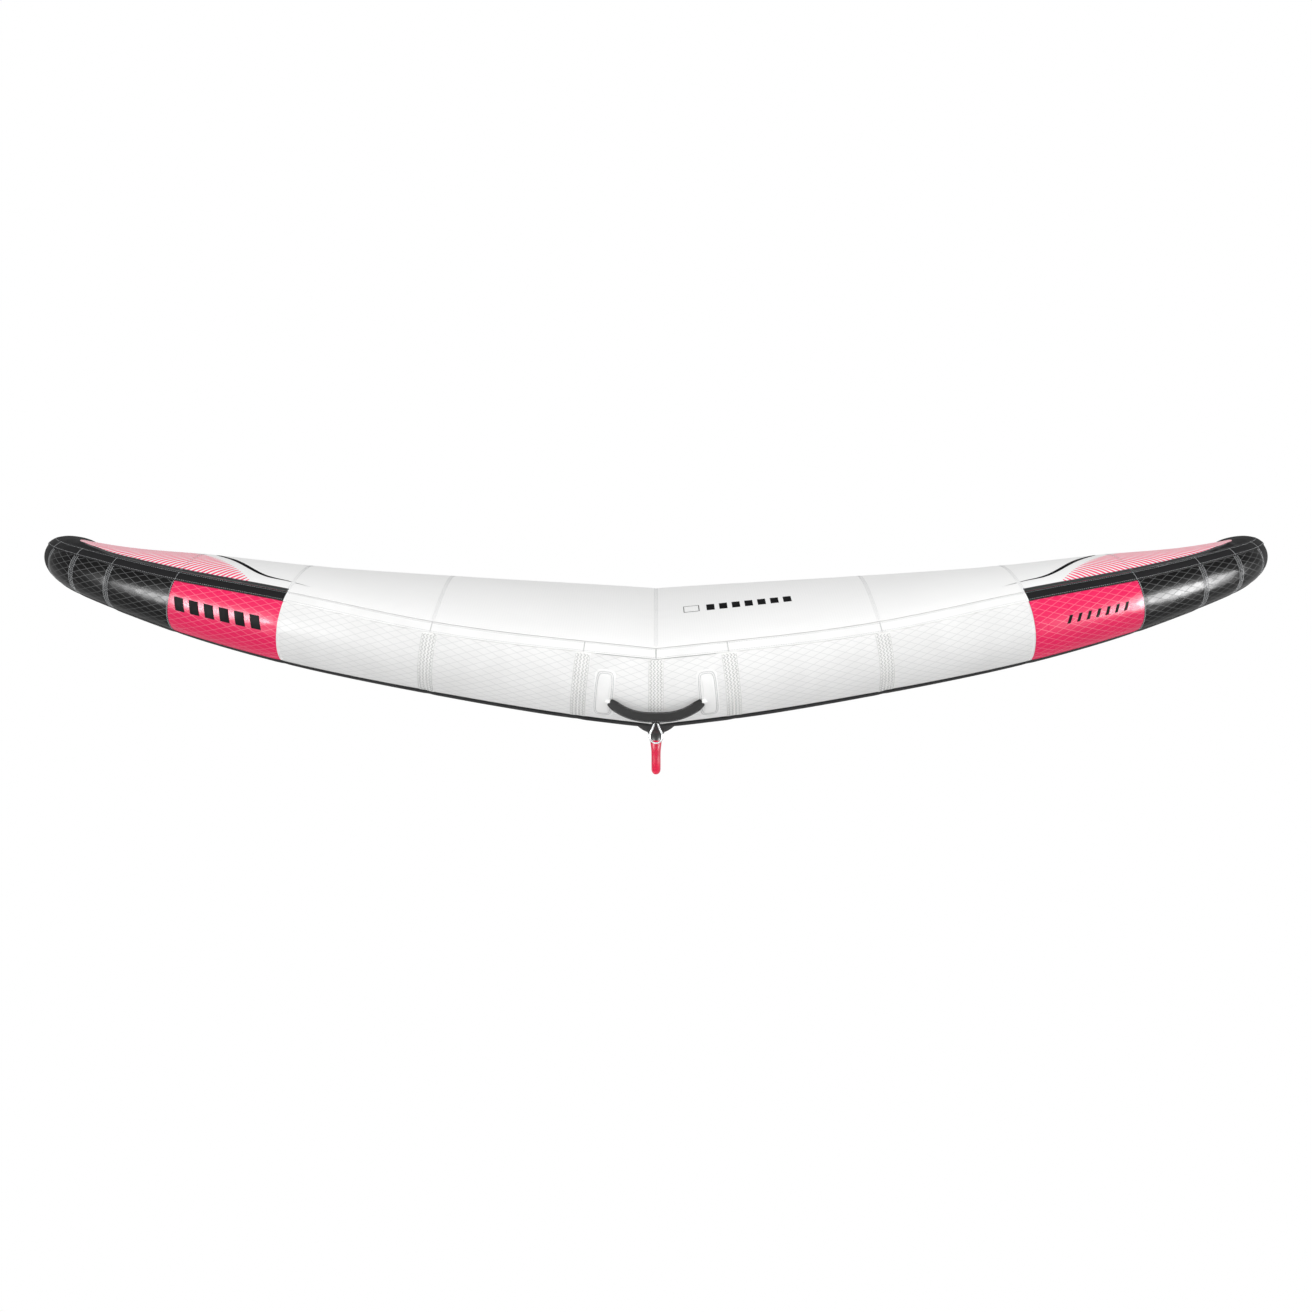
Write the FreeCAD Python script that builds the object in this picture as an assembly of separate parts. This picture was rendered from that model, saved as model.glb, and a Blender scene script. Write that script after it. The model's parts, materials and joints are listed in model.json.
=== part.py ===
import FreeCAD, Part
import math
import os

# Inflatable hand-held wing, about 4.5 square metres, span about 3.15 m.
# Millimetres.  X runs along the span, -Y is forward (leading edge), +Z is up.
# Everything is drawn from the nose of the leading edge tube and moved, on export,
# so that the middle of the front strut grip is the origin.

# ---- leading edge: axis point, tube radius, trailing edge point, canopy root angle, canopy fullness
STATIONS = [
    (0, 0, 0, 119.5, 0, 1800, 58, 39, 0.141),
    (184, 9, 21, 118, 184, 1782, 66, 38.5, 0.141),
    (557, 52, 76, 112, 557, 1622, 92, 37, 0.136),
    (920, 142, 137, 101, 915, 1390, 130, 50, 0.146),
    (1210, 250, 199, 84, 1180, 1190, 175, 53, 0.155),
    (1382, 342, 243, 69, 1335, 1060, 212, 60, 0.135),
    (1490, 436, 275, 57, 1432, 975, 254, 68, 0.135),
    (1536, 550, 296, 46, 1478, 930, 304, 76, 0.110),
    (1538, 690, 302, 37, 1498, 915, 324, 84, 0.085),
    (1512, 830, 297, 30, 1506, 880, 329, 90, 0.075),
]
TAIL_FULLNESS = 0.37        # how far the flat tail of the canopy reaches forward, of the chord
TAIL_SLOPE = 0.24           # climb of the canopy forward of the trailing edge
NOSE_BLEND = 110            # length over which the tube turns out of the mirror plane
CANOPY_END = 1930           # distance along the tube where the last canopy panel stops
SEAMS = (0, 176, 544, 921, 1221, 1414, 1636)   # ring seams of the tube, distance along it

# ---- fabric build-up, measured outward from the tube surface
WALL = 1.6                  # casing wall
BLADDER_GAP = 1.5           # casing to bladder
BLADDER_WALL = 1.5
TAPE_LOW, TAPE_HIGH = 0.3, 0.9
BAND_LOW, BAND_HIGH = 1.1, 2.8
CANOPY_LIFT = 2.0           # canopy middle surface above the tube at its root
CANOPY_HALF = 0.8           # half the canopy thickness
BAND_WIDTH = 28.0           # seam band along the canopy root
BAND_GAP = 0.8              # degrees between the band and the canopy root
BAND_END = 1860             # distance along the tube where the band stops
SCUFF_THICK = 0.9
TRIM_GAP = 0.6              # canopy skin to the tapes and pockets sewn on it
TRIM_THICK, POCKET_THICK = 0.7, 1.3
RING_TAPE = 37.0            # width of the tapes over the ring seams
SCUFF_FROM, SCUFF_TO = -104.0, -66.0   # underside strip, degrees round the tube
TE_TAPE = 0.014             # trailing edge tape width, of the chord
POCKETS = (380, 760, 1090)  # batten pockets, distance along the tube
POCKET_WIDTH = 26.0
POCKET_FROM = 0.80          # chord share where a pocket starts

# ---- strut, in the mirror plane: y, z, radius
STRUT = [
    (0, -60, 51), (120, -75, 62), (300, -79, 66), (600, -50, 66), (1000, -5, 60),
    (1400, 22, 50), (1700, 24, 38), (1790, 21, 31),
]
STRUT_TOOL_GAP = 0.6
WEB_HALF = 1.0              # half thickness of the web panel
WEB_GAP = 0.6
WEB_END = 0.955             # chord share where the web runs out

# ---- strut handles: middle y, leg spacing, foot height and bar depth below the strut
FRONT_HANDLE = (424, 248, 19, 100)
REAR_HANDLE = (985, 290, 18, 96)
FOOT_SINK = 20.0            # how far a foot reaches up round the strut
GRIP_TOP = (14.0, 18)       # half width, half length of a leg under its foot
GRIP_BAR = (11.5, 13.5)     # half width, half height of the bar
GRIP_CORNER, GRIP_LEAN = 30.0, 5.0     # bend radius of the grip, inward lean of its legs
FOOT_TOP = (50, 54)         # half width, half length of a foot on the strut
FOOT_LOW = (15.5, 20.0)
SCREW_RISE = 8.0            # screw above the lower end of its foot
SCREW_R, SCREW_HEAD, SOCKET_R = 4.2, 2.4, 2.2

# ---- nose handle and leash ring
STRAP_AXIS = (-107.0, -52.0)           # y, z of the swing axis
STRAP_HALF = 112.0                     # half length between the folds
STRAP_DROP = 37.0                      # sag of the strap below its axis
STRAP_LEAN = 9.0                       # forward lean of the sagging strap
STRAP_BAND = (12.5, 4.5)               # half width, half thickness of the padded band
FOLD_R = 6.0
PATCH_FROM, PATCH_TO = 112.6, 143.0    # webbing patch, distance along the tube
PATCH_LOW, PATCH_TOP = -51.0, 1.5      # webbing patch, degrees round the tube
TAB_ANGLE = -57.0
RING_WIRE = 2.25
RING_TOP_R, RING_LOW_R, RING_DROP = 5.0, 15.7, 27.0
TAB_HOLE = 3.6
TAB_HALF = 2.4

# ---- inflation valve
VALVE_S, VALVE_ANGLE = 300.0, -150.0
FLANGE_R, NECK_R, BORE_R, NECK_TOP = 28.0, 15.0, 9.5, 26.0
CAP_IN, CAP_OUT, CAP_SKIRT, CAP_TOP = 16.5, 18.5, 7.0, 2.2
HINGE_OUT, PIN_R, EYE_R, EYE_OUT = 23.5, 1.2, 1.55, 3.0

# ---- air hose between the tube and the strut
HOSE_R = 5.0
HOSE_FROM = (80.0, 132.0, -24.0)
HOSE_TO = (92.0, 262.0, -79.0)
CLIP_LONG, CLIP_HALF, CLIP_HOLE = 18.0, 8.5, 5.4
LEVER_THICK = 2.6


def vec(p):
    return FreeCAD.Vector(*p)


def unit(v):
    size = math.sqrt(sum(c * c for c in v))
    return [c / size for c in v]


def cross(a, b):
    return [a[1] * b[2] - a[2] * b[1], a[2] * b[0] - a[0] * b[2], a[0] * b[1] - a[1] * b[0]]


def cubic(knots, values):
    """Natural cubic spline through values at knots."""
    last = len(knots) - 1
    step = [knots[i + 1] - knots[i] for i in range(last)]
    upper = [0.0] * (last + 1)
    rhs = [0.0] * (last + 1)
    for i in range(1, last):
        slope = (values[i + 1] - values[i]) / step[i] - (values[i] - values[i - 1]) / step[i - 1]
        pivot = 2 * (step[i - 1] + step[i]) - step[i - 1] * upper[i - 1]
        upper[i] = step[i] / pivot
        rhs[i] = (6 * slope - step[i - 1] * rhs[i - 1]) / pivot
    bend = [0.0] * (last + 1)
    for i in range(last - 1, 0, -1):
        bend[i] = rhs[i] - upper[i] * bend[i + 1]

    def at(s):
        i = 0
        while i < last - 1 and s > knots[i + 1]:
            i += 1
        a = (knots[i + 1] - s) / step[i]
        b = (s - knots[i]) / step[i]
        curve = ((a ** 3 - a) * bend[i] + (b ** 3 - b) * bend[i + 1]) * step[i] ** 2 / 6
        return a * values[i] + b * values[i + 1] + curve

    return at


KNOTS = [0.0]
for here, there in zip(STATIONS, STATIONS[1:]):
    KNOTS.append(KNOTS[-1] + math.dist(here[:3], there[:3]))
TIP = KNOTS[-1]
LAW = [cubic(KNOTS, [row[k] for row in STATIONS]) for k in range(9)]
STRUT_LAW = [cubic([row[0] for row in STRUT], [row[k] for row in STRUT]) for k in (1, 2)]


def tube_axis(s):
    return [LAW[k](s) for k in range(3)]


def tube_frame(s):
    """Tangent, forward and up directions of the leading edge tube."""
    ahead = tube_axis(min(s + 1, TIP))
    behind = tube_axis(max(s - 1, 0))
    run = unit([a - b for a, b in zip(ahead, behind)])
    share = min(s / NOSE_BLEND, 1.0)
    share = share * share * (3 - 2 * share)
    run = unit([(1 - share) * c + share * r for c, r in zip((1, 0, 0), run)])
    up = unit([(k == 2) - run[2] * run[k] for k in range(3)])
    return run, cross(run, up), up


def on_tube(s, angle, lift=0.0):
    """Point on the tube: angle 0 faces forward, 90 is the top."""
    ahead, up = tube_frame(s)[1:]
    centre = tube_axis(s)
    reach = LAW[3](s) + lift
    a = math.radians(angle)
    return [centre[k] + reach * (math.cos(a) * ahead[k] + math.sin(a) * up[k]) for k in range(3)]


def canopy_point(s, c):
    """Middle surface of the canopy at tube distance s and chord share c."""
    ahead, up = tube_frame(s)[1:]
    angle = LAW[7](s)
    a = math.radians(angle)
    root = on_tube(s, angle, CANOPY_LIFT)
    tail = [LAW[k](s) for k in (4, 5, 6)]
    chord = math.dist(root, tail)
    rise = LAW[8](s) * chord
    lift = [root[k] + rise * (math.cos(a) * up[k] - math.sin(a) * ahead[k]) for k in range(3)]
    flat = math.hypot(tail[0] - root[0], tail[1] - root[1])
    back = TAIL_FULLNESS * chord
    rear = [tail[0] - (tail[0] - root[0]) / flat * back,
            tail[1] - (tail[1] - root[1]) / flat * back,
            tail[2] + TAIL_SLOPE * back]
    w = ((1 - c) ** 3, 3 * c * (1 - c) ** 2, 3 * c * c * (1 - c), c ** 3)
    return [w[0] * root[k] + w[1] * lift[k] + w[2] * rear[k] + w[3] * tail[k] for k in range(3)]


def on_canopy(s, c, lift=0.0):
    """Canopy point moved along the surface normal."""
    along = [a - b for a, b in zip(canopy_point(s + 2, c), canopy_point(max(s - 2, 0), c))]
    back = [a - b for a, b in zip(canopy_point(s, min(c + 0.005, 1)), canopy_point(s, max(c - 0.005, 0)))]
    normal = cross(along, back)
    if s == 0:
        normal[0] = 0.0
    normal = unit(normal)
    return [p + lift * n for p, n in zip(canopy_point(s, c), normal)]


def spread(start, stop, count):
    return [start + (stop - start) * i / (count - 1) for i in range(count)]


def skin(place, us, vs, low, high):
    """Closed thin solid between two lifts of the surface place(u, v, lift)."""
    sheets = []
    for lift in (low, high):
        sheet = Part.BSplineSurface()
        sheet.interpolate([[vec(place(u, v, lift)) for v in vs] for u in us])
        sheets.append(sheet)
    faces = [sheet.toShape() for sheet in sheets]
    u0, u1, v0, v1 = sheets[0].bounds()
    for pick in (0, 1):
        below, above = [sheet.uIso((u0, u1)[pick]).toShape() for sheet in sheets]
        faces.append(Part.makeRuledSurface(below, above))
        below, above = [sheet.vIso((v0, v1)[pick]).toShape() for sheet in sheets]
        faces.append(Part.makeRuledSurface(below, above))
    return closed(faces)


def closed(faces):
    shell = Part.Shell(faces)
    shell.sewShape()
    solid = Part.makeSolid(shell)
    if solid.Volume < 0:
        solid.reverse()
    return solid


def hoop(centre, normal, radius):
    circle = Part.Circle(vec(centre), vec(normal), radius)
    return Part.Wire([circle.toShape()])


def tube_loft(stops, lift):
    """Solid through the tube's cross-sections."""
    hoops = [hoop(tube_axis(s), tube_frame(s)[0], LAW[3](s) + lift) for s in stops]
    return Part.makeLoft(hoops, True)


def casing(start, stop, lift=0.0, wall=WALL):
    stops = spread(start, stop, max(4, round((stop - start) / 45)))
    return tube_loft(stops, lift).cut(tube_loft(stops, lift - wall))


def mirrored(shape):
    return shape.mirror(FreeCAD.Vector(0, 0, 0), FreeCAD.Vector(1, 0, 0))


def oval(centre, run, half_x, half_v):
    """Elliptic wire across the direction run, with half_x along X."""
    side = FreeCAD.Vector(1, 0, 0)
    if half_x >= half_v:
        ellipse = Part.Ellipse(FreeCAD.Vector(0, 0, 0), half_x, half_v)
        long_way = side
    else:
        ellipse = Part.Ellipse(FreeCAD.Vector(0, 0, 0), half_v, half_x)
        long_way = vec(run).cross(side)
    turn = FreeCAD.Rotation(long_way, FreeCAD.Vector(), vec(run), "ZXY")
    edge = ellipse.toShape()
    edge.Placement = FreeCAD.Placement(vec(centre), turn)
    return Part.Wire([edge])


def strut_loft(ys, shrink):
    hoops = []
    for y in ys:
        z, r = [law(y) for law in STRUT_LAW]
        slope = STRUT_LAW[0](y + 1) - STRUT_LAW[0](y - 1)
        hoops.append(hoop((0, y, z), (0, 2, slope), r - shrink))
    return Part.makeLoft(hoops, True)


def pole(start, stop, radius):
    run = vec(stop).sub(vec(start))
    return Part.makeCylinder(radius, run.Length, vec(start), run)


def build_leading_edge(parts):
    names = ["le_casing_nose", "le_casing_inner", "le_casing_mid", "le_panel_pink", "le_casing_outer",
             "le_casing_tip"]
    for name, start, stop in zip(names, SEAMS, SEAMS[1:]):
        both(parts, name, casing(start, stop))
    both(parts, "le_tip_cap", casing(SEAMS[-1], TIP).fuse(tip_dome()))
    halves = bladder_rooms()
    parts["le_bladder"] = Part.makeCompound(halves + [mirrored(room) for room in halves])
    ring = casing(0, RING_TAPE / 2, TAPE_HIGH, TAPE_HIGH - TAPE_LOW)
    centre = Part.makeCompound([ring, mirrored(ring)])
    parts["ring_tape_center"] = centre
    rings = [casing(s - RING_TAPE / 2, s + RING_TAPE / 2, TAPE_HIGH, TAPE_HIGH - TAPE_LOW)
             for s in SEAMS[1:3]]
    both(parts, "ring_tape", Part.makeCompound(rings))
    strip = skin(on_tube, spread(RING_TAPE, TIP - 20, 48), spread(SCUFF_FROM, SCUFF_TO, 7),
                 BAND_LOW, BAND_LOW + SCUFF_THICK)
    both(parts, "scuff_strip", strip)


def bladder_rooms():
    """Bladder tube inside each length of casing; the last one is closed at the tip."""
    gap = WALL + BLADDER_GAP
    rooms = [casing(start, stop, -gap, BLADDER_WALL) for start, stop in zip(SEAMS, SEAMS[1:])]
    stops = spread(SEAMS[-1], TIP - 6, 9)
    inner = stops[:-1] + [stops[-1] - 2 * BLADDER_WALL]
    rooms.append(tube_loft(stops, -gap).cut(tube_loft(inner, -gap - BLADDER_WALL)))
    return rooms


def tip_dome():
    """Rounded end of the tube."""
    end = tube_axis(TIP)
    run = tube_frame(TIP)[0]
    size = LAW[3](TIP)
    hoops = []
    for turn in (0, 18, 36, 52, 66):
        a = math.radians(turn)
        centre = [e + r * size * math.sin(a) for e, r in zip(end, run)]
        hoops.append(hoop(centre, run, size * math.cos(a)))
    return Part.makeLoft(hoops, True)


def build_canopy(parts):
    edges = [SEAMS[0], SEAMS[2], SEAMS[3], SEAMS[4], CANOPY_END]
    chord = [0, 0.03, 0.07, 0.12, 0.18, 0.26, 0.36, 0.48, 0.6, 0.72, 0.84, 0.93, 1.0]
    names = ["canopy_center", "canopy_inner", "canopy_outer", "canopy_tip"]
    for name, start, stop in zip(names, edges, edges[1:]):
        stops = spread(start, stop, max(9, round((stop - start) / 32)))
        both(parts, name, skin(on_canopy, stops, chord, -CANOPY_HALF, CANOPY_HALF))
    tape_low = CANOPY_HALF + TRIM_GAP
    tape_high = tape_low + TRIM_THICK
    stops = spread(4, CANOPY_END - 4, 61)
    rim = spread(1 - TE_TAPE, 1, 3)
    tapes = [skin(on_canopy, stops, rim, tape_low, tape_high),
             skin(on_canopy, stops, rim, -tape_high, -tape_low)]
    both(parts, "te_tape", Part.makeCompound(tapes))
    pockets = []
    for s in POCKETS:
        stops = spread(s - POCKET_WIDTH / 2, s + POCKET_WIDTH / 2, 3)
        pockets.append(skin(on_canopy, stops, spread(POCKET_FROM, 1 - 2 * TE_TAPE, 8),
                            -CANOPY_HALF - TRIM_GAP - POCKET_THICK, -CANOPY_HALF - TRIM_GAP))
    both(parts, "batten_pockets", Part.makeCompound(pockets))
    for name, start, stop in (("seam_band_white", 0, SEAMS[3]), ("seam_band_black", SEAMS[3], BAND_END)):
        both(parts, name, skin(band_point, spread(start, stop, 17), spread(0, 1, 4), BAND_LOW, BAND_HIGH))


def band_point(s, across, lift):
    """Seam band: across runs from its lower edge to just under the canopy root."""
    top = LAW[7](s) - BAND_GAP
    wide = math.degrees(BAND_WIDTH / LAW[3](s))
    return on_tube(s, top - wide * (1 - across), lift)


def build_strut(parts):
    nose = tube_loft(spread(0, KNOTS[1], 5), TAPE_HIGH + STRUT_TOOL_GAP)
    nose = nose.fuse(mirrored(nose))
    ys = [row[0] for row in STRUT]
    fine = [y for a, b in zip(ys, ys[1:]) for y in (a, (a + b) / 2)] + [ys[-1]]
    shell = strut_loft(fine, 0).cut(strut_loft(fine, WALL)).cut(nose)
    parts["strut_casing"] = max(shell.Solids, key=lambda solid: solid.Volume)
    y = ys[-1]
    z, r = [law(y) for law in STRUT_LAW]
    hoops = []
    for turn in (0, 20, 40, 60, 74):
        a = math.radians(turn)
        hoops.append(hoop((0, y + r * 0.7 * math.sin(a), z), (0, 1, 0), r * math.cos(a)))
    parts["strut_tail_cap"] = Part.makeLoft(hoops, True)
    inner = [150] + [y for y in fine if 150 < y < ys[-1]] + [ys[-1] - 8]
    hollow = [153] + inner[1:-1] + [ys[-1] - 11]
    gap = WALL + BLADDER_GAP
    parts["strut_bladder"] = strut_loft(inner, gap).cut(strut_loft(hollow, gap + BLADDER_WALL))
    parts["strut_web"] = strut_web()


def strut_web():
    """Flat panel that fills the gap between the strut, the tube and the canopy."""
    gap = CANOPY_HALF + WEB_GAP
    start = 0.0
    while canopy_point(0, start)[1] < 0:
        start += 0.005
    top = [on_canopy(0, c, -gap) for c in spread(start, WEB_END, 18)]
    rear = top[-1][1]
    low = []
    for y in spread(LAW[3](0) + TAPE_HIGH + 2 * WEB_GAP, rear, 14):
        z, r = [law(y) for law in STRUT_LAW]
        low.append((0, y, z + r + WEB_GAP + 0.4))
    radius = LAW[3](0) + TAPE_HIGH + WEB_GAP
    a1 = math.asin(min(low[0][2] / radius, 1))
    arc = [(0, radius * math.cos(a), radius * math.sin(a)) for a in spread(a1, math.pi / 2, 7)]
    low[0] = arc[0]
    edges = [curve(top), Part.makeLine(vec(top[-1]), vec(low[-1])), curve(low), curve(arc)]
    edges.append(Part.makeLine(vec(arc[-1]), vec(top[0])))
    face = Part.Face(Part.Wire(Part.__sortEdges__(edges)))
    face.translate(FreeCAD.Vector(-WEB_HALF, 0, 0))
    return face.extrude(FreeCAD.Vector(2 * WEB_HALF, 0, 0))


def curve(points):
    spline = Part.BSplineCurve()
    spline.interpolate([vec(p) for p in points])
    return spline.toShape()


def underside(y):
    z, r = [law(y) for law in STRUT_LAW]
    return z - r


def handle_place(handle):
    """Placement of a handle: its local Z = 0 is the underside of the strut, local Y runs aft."""
    middle, spacing = handle[:2]
    rise = underside(middle + spacing / 2) - underside(middle - spacing / 2)
    turn = FreeCAD.Rotation(FreeCAD.Vector(1, 0, 0), math.degrees(math.atan2(rise, spacing)))
    return FreeCAD.Placement(FreeCAD.Vector(0, middle, underside(middle)), turn)


def grip(handle):
    """Bent bar with two tapered legs."""
    spacing, foot_drop, bar_drop = handle[1:]
    corner = GRIP_CORNER
    lean = GRIP_LEAN
    end = -spacing / 2
    path = []
    for share in (0.0, 0.35, 0.75):
        path.append((end + lean * share, -foot_drop - (bar_drop - corner - foot_drop) * share, share))
    for turn in (0, 22.5, 45, 67.5, 90):
        a = math.radians(turn)
        path.append((end + lean + corner * (1 - math.cos(a)), -bar_drop + corner * (1 - math.sin(a)), 1.0))
    path.append((path[-1][0] / 2, -bar_drop, 1.0))
    rows = path + [(0, -bar_drop, 1.0)]
    rows += [(-y, z, share) for y, z, share in reversed(path)]
    sections = []
    for i, (y, z, share) in enumerate(rows):
        before = rows[max(i - 1, 0)]
        after = rows[min(i + 1, len(rows) - 1)]
        run = (0, after[0] - before[0], after[1] - before[1])
        if i in (0, len(rows) - 1):
            run = (0, 0, -1 if i == 0 else 1)
        slim = min(share * 1.3, 1)
        half_x = GRIP_TOP[0] + (GRIP_BAR[0] - GRIP_TOP[0]) * slim
        half_v = GRIP_TOP[1] + (GRIP_BAR[1] - GRIP_TOP[1]) * slim
        sections.append(oval((0, y, z), run, half_x, half_v * 0.995))
    return Part.makeLoft(sections, True)


def foot(y, height):
    """Flared foot of a handle, before it is fitted to the strut."""
    sections = []
    for share in (0.0, 0.3, 0.6, 0.85, 1.0):
        ease = (1 - share) ** 2.4
        half_x = FOOT_LOW[0] + (FOOT_TOP[0] - FOOT_LOW[0]) * ease
        half_y = FOOT_LOW[1] + (FOOT_TOP[1] - FOOT_LOW[1]) * ease
        sections.append(oval((0, y, FOOT_SINK - (FOOT_SINK + height) * share), (0, 0, -1), half_x, half_y))
    return Part.makeLoft(sections, True)


def screw(y, z, side):
    """Socket head screw across a foot."""
    face = FOOT_LOW[0] + 1.4
    head = pole((side * (face - 3), y, z), (side * (face + SCREW_HEAD), y, z), SCREW_R)
    socket = pole((side * (face + 0.4), y, z), (side * (face + SCREW_HEAD + 1), y, z), SOCKET_R)
    return head.cut(socket)


def build_handle(parts, name, handle):
    """Grip, feet and screws; returns where the middle of the bar is."""
    middle, spacing, foot_drop, bar_drop = handle
    place = handle_place(handle)
    strut = strut_loft(spread(middle - spacing / 2 - 75, middle + spacing / 2 + 75, 9), -WEB_GAP)
    bodies = []
    screws = []
    for y in (-spacing / 2, spacing / 2):
        body = foot(y, foot_drop)
        for side in (-1, 1):
            z = SCREW_RISE - foot_drop
            screws.append(screw(y, z, side))
            inner = side * (FOOT_LOW[0] - 4)
            body = body.cut(pole((inner, y, z), (side * 2 * FOOT_LOW[0], y, z), SCREW_R + 0.05))
        body.Placement = place
        bodies.append(body.cut(strut))
    parts[name + "_grip"] = grip(handle)
    parts[name + "_grip"].Placement = place
    parts[name + "_feet"] = Part.makeCompound(bodies)
    parts[name + "_screws"] = Part.makeCompound(screws)
    parts[name + "_screws"].Placement = place
    return place.multVec(FreeCAD.Vector(0, 0, -bar_drop))


def strap_section(x):
    """Wire of the nose handle strap at span position x."""
    share = abs(x) / STRAP_HALF
    sag = 1 - share ** 2.6
    slope = 2.6 * share ** 1.6 * STRAP_DROP / STRAP_HALF
    centre = (x, STRAP_AXIS[0] - STRAP_LEAN * sag, STRAP_AXIS[1] - STRAP_DROP * sag)
    round_off = max(0.0, (share - 0.72) / 0.28) ** 1.5
    wide = STRAP_BAND[0] + (FOLD_R - STRAP_BAND[0]) * round_off
    thick = STRAP_BAND[1] + (FOLD_R - 0.1 - STRAP_BAND[1]) * round_off
    tilt = math.atan(slope) * (1 - round_off) * (1 if x > 0 else -1)
    run = FreeCAD.Vector(math.cos(tilt), 0, math.sin(tilt))
    down = FreeCAD.Vector(math.sin(tilt), 0, -math.cos(tilt))
    ellipse = Part.Ellipse(FreeCAD.Vector(0, 0, 0), wide, thick).toShape()
    turn = FreeCAD.Rotation(down, FreeCAD.Vector(), run, "ZXY")
    ellipse.Placement = FreeCAD.Placement(vec(centre), turn)
    return Part.Wire([ellipse])


def build_nose_handle(parts):
    sections = [strap_section(x) for x in spread(-STRAP_HALF, STRAP_HALF, 23)]
    parts["nose_handle_strap"] = Part.makeLoft(sections, True)
    tool = tube_loft(spread(KNOTS[0], KNOTS[2], 9), 2.1)
    plate = skin(on_tube, spread(PATCH_FROM, PATCH_TO, 4), spread(PATCH_LOW, PATCH_TOP, 9), 2.0, 3.6)
    y, z = STRAP_AXIS
    fold = pole((PATCH_FROM, y, z), (PATCH_TO - 6, y, z), FOLD_R)
    web = Part.makeBox(PATCH_TO - 6 - PATCH_FROM, 2 * FOLD_R, 18, FreeCAD.Vector(PATCH_FROM, -FOLD_R, -18))
    web.rotate(FreeCAD.Vector(0, 0, 0), FreeCAD.Vector(1, 0, 0), 120)
    web.translate(FreeCAD.Vector(0, y, z))
    both(parts, "nose_handle_patch", plate.fuse(fold.fuse(web).cut(tool)).removeSplitter())
    reinforce = skin(on_tube, spread(PATCH_FROM - 16, PATCH_TO + 12, 5),
                     spread(PATCH_LOW - 5, PATCH_TOP + 5, 9), 1.1, 1.8)
    both(parts, "nose_patch_base", reinforce)


def ring_path(cy, cz):
    """Pear-shaped centre line of the leash ring, hung from its narrow top."""
    low = RING_DROP
    lean = math.asin((RING_LOW_R - RING_TOP_R) / low)
    points = []
    top_z = cz - RING_TOP_R
    low_z = top_z - low
    for r, z, start, stop in ((RING_TOP_R, top_z, lean, math.pi - lean),
                              (RING_LOW_R, low_z, math.pi - lean, 2 * math.pi + lean)):
        mid = (start + stop) / 2
        points.append([(r * math.cos(a), cy, z + r * math.sin(a)) for a in (start, mid, stop)])
    first, second = points
    edges = [Part.Arc(*[vec(p) for p in first]).toShape(),
             Part.makeLine(vec(first[2]), vec(second[0])),
             Part.Arc(*[vec(p) for p in second]).toShape(),
             Part.makeLine(vec(second[2]), vec(first[0]))]
    return Part.Wire(Part.__sortEdges__(edges))


def build_leash(parts):
    """Webbing tab and the ring that swings on it."""
    a = math.radians(TAB_ANGLE)
    reach = LAW[3](0) + TAPE_HIGH + 0.3 + TAB_HOLE + 2.0
    cy, cz = -reach * math.cos(a), reach * math.sin(a)
    path = ring_path(cy, cz)
    start = path.Edges[0].Vertexes[0].Point
    run = path.Edges[0].tangentAt(path.Edges[0].FirstParameter)
    profile = Part.Wire([Part.Circle(start, run, RING_WIRE).toShape()])
    parts["leash_ring"] = path.makePipeShell([profile], True, True, 1)
    loop = pole((-TAB_HALF, cy, cz), (TAB_HALF, cy, cz), TAB_HOLE + 1.6)
    foot_block = Part.makeBox(2 * TAB_HALF, 12, 14, FreeCAD.Vector(-TAB_HALF, -6, -14))
    foot_block.rotate(FreeCAD.Vector(0, 0, 0), FreeCAD.Vector(1, 0, 0), 90 - TAB_ANGLE)
    foot_block.translate(FreeCAD.Vector(0, cy, cz))
    plate = skin(plate_point, spread(-9, 9, 5),
                 spread(TAB_ANGLE - 8, TAB_ANGLE + 12, 5), 1.3, 2.4)
    hole = pole((-20, cy, cz), (20, cy, cz), TAB_HOLE)
    tool = Part.makeCylinder(LAW[3](0) + TAPE_HIGH + 0.4, 60, FreeCAD.Vector(-30, 0, 0),
                             FreeCAD.Vector(1, 0, 0))
    parts["leash_tab"] = plate.fuse(loop.fuse(foot_block).cut(tool)).cut(hole).removeSplitter()


def plate_point(x, angle, lift):
    """Point over the nose, on either side of the mirror plane."""
    p = on_tube(abs(x), angle, lift)
    return [math.copysign(p[0], x) if x else 0.0, p[1], p[2]]


def valve_frame():
    """Placement with local Z pointing out of the tube, X along it, and the tube radius."""
    run, ahead, up = tube_frame(VALVE_S)
    a = math.radians(VALVE_ANGLE)
    out = [math.cos(a) * ahead[k] + math.sin(a) * up[k] for k in range(3)]
    turn = FreeCAD.Rotation(vec(run), FreeCAD.Vector(), vec(out), "ZXY")
    return FreeCAD.Placement(vec(on_tube(VALVE_S, VALVE_ANGLE)), turn)


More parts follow.
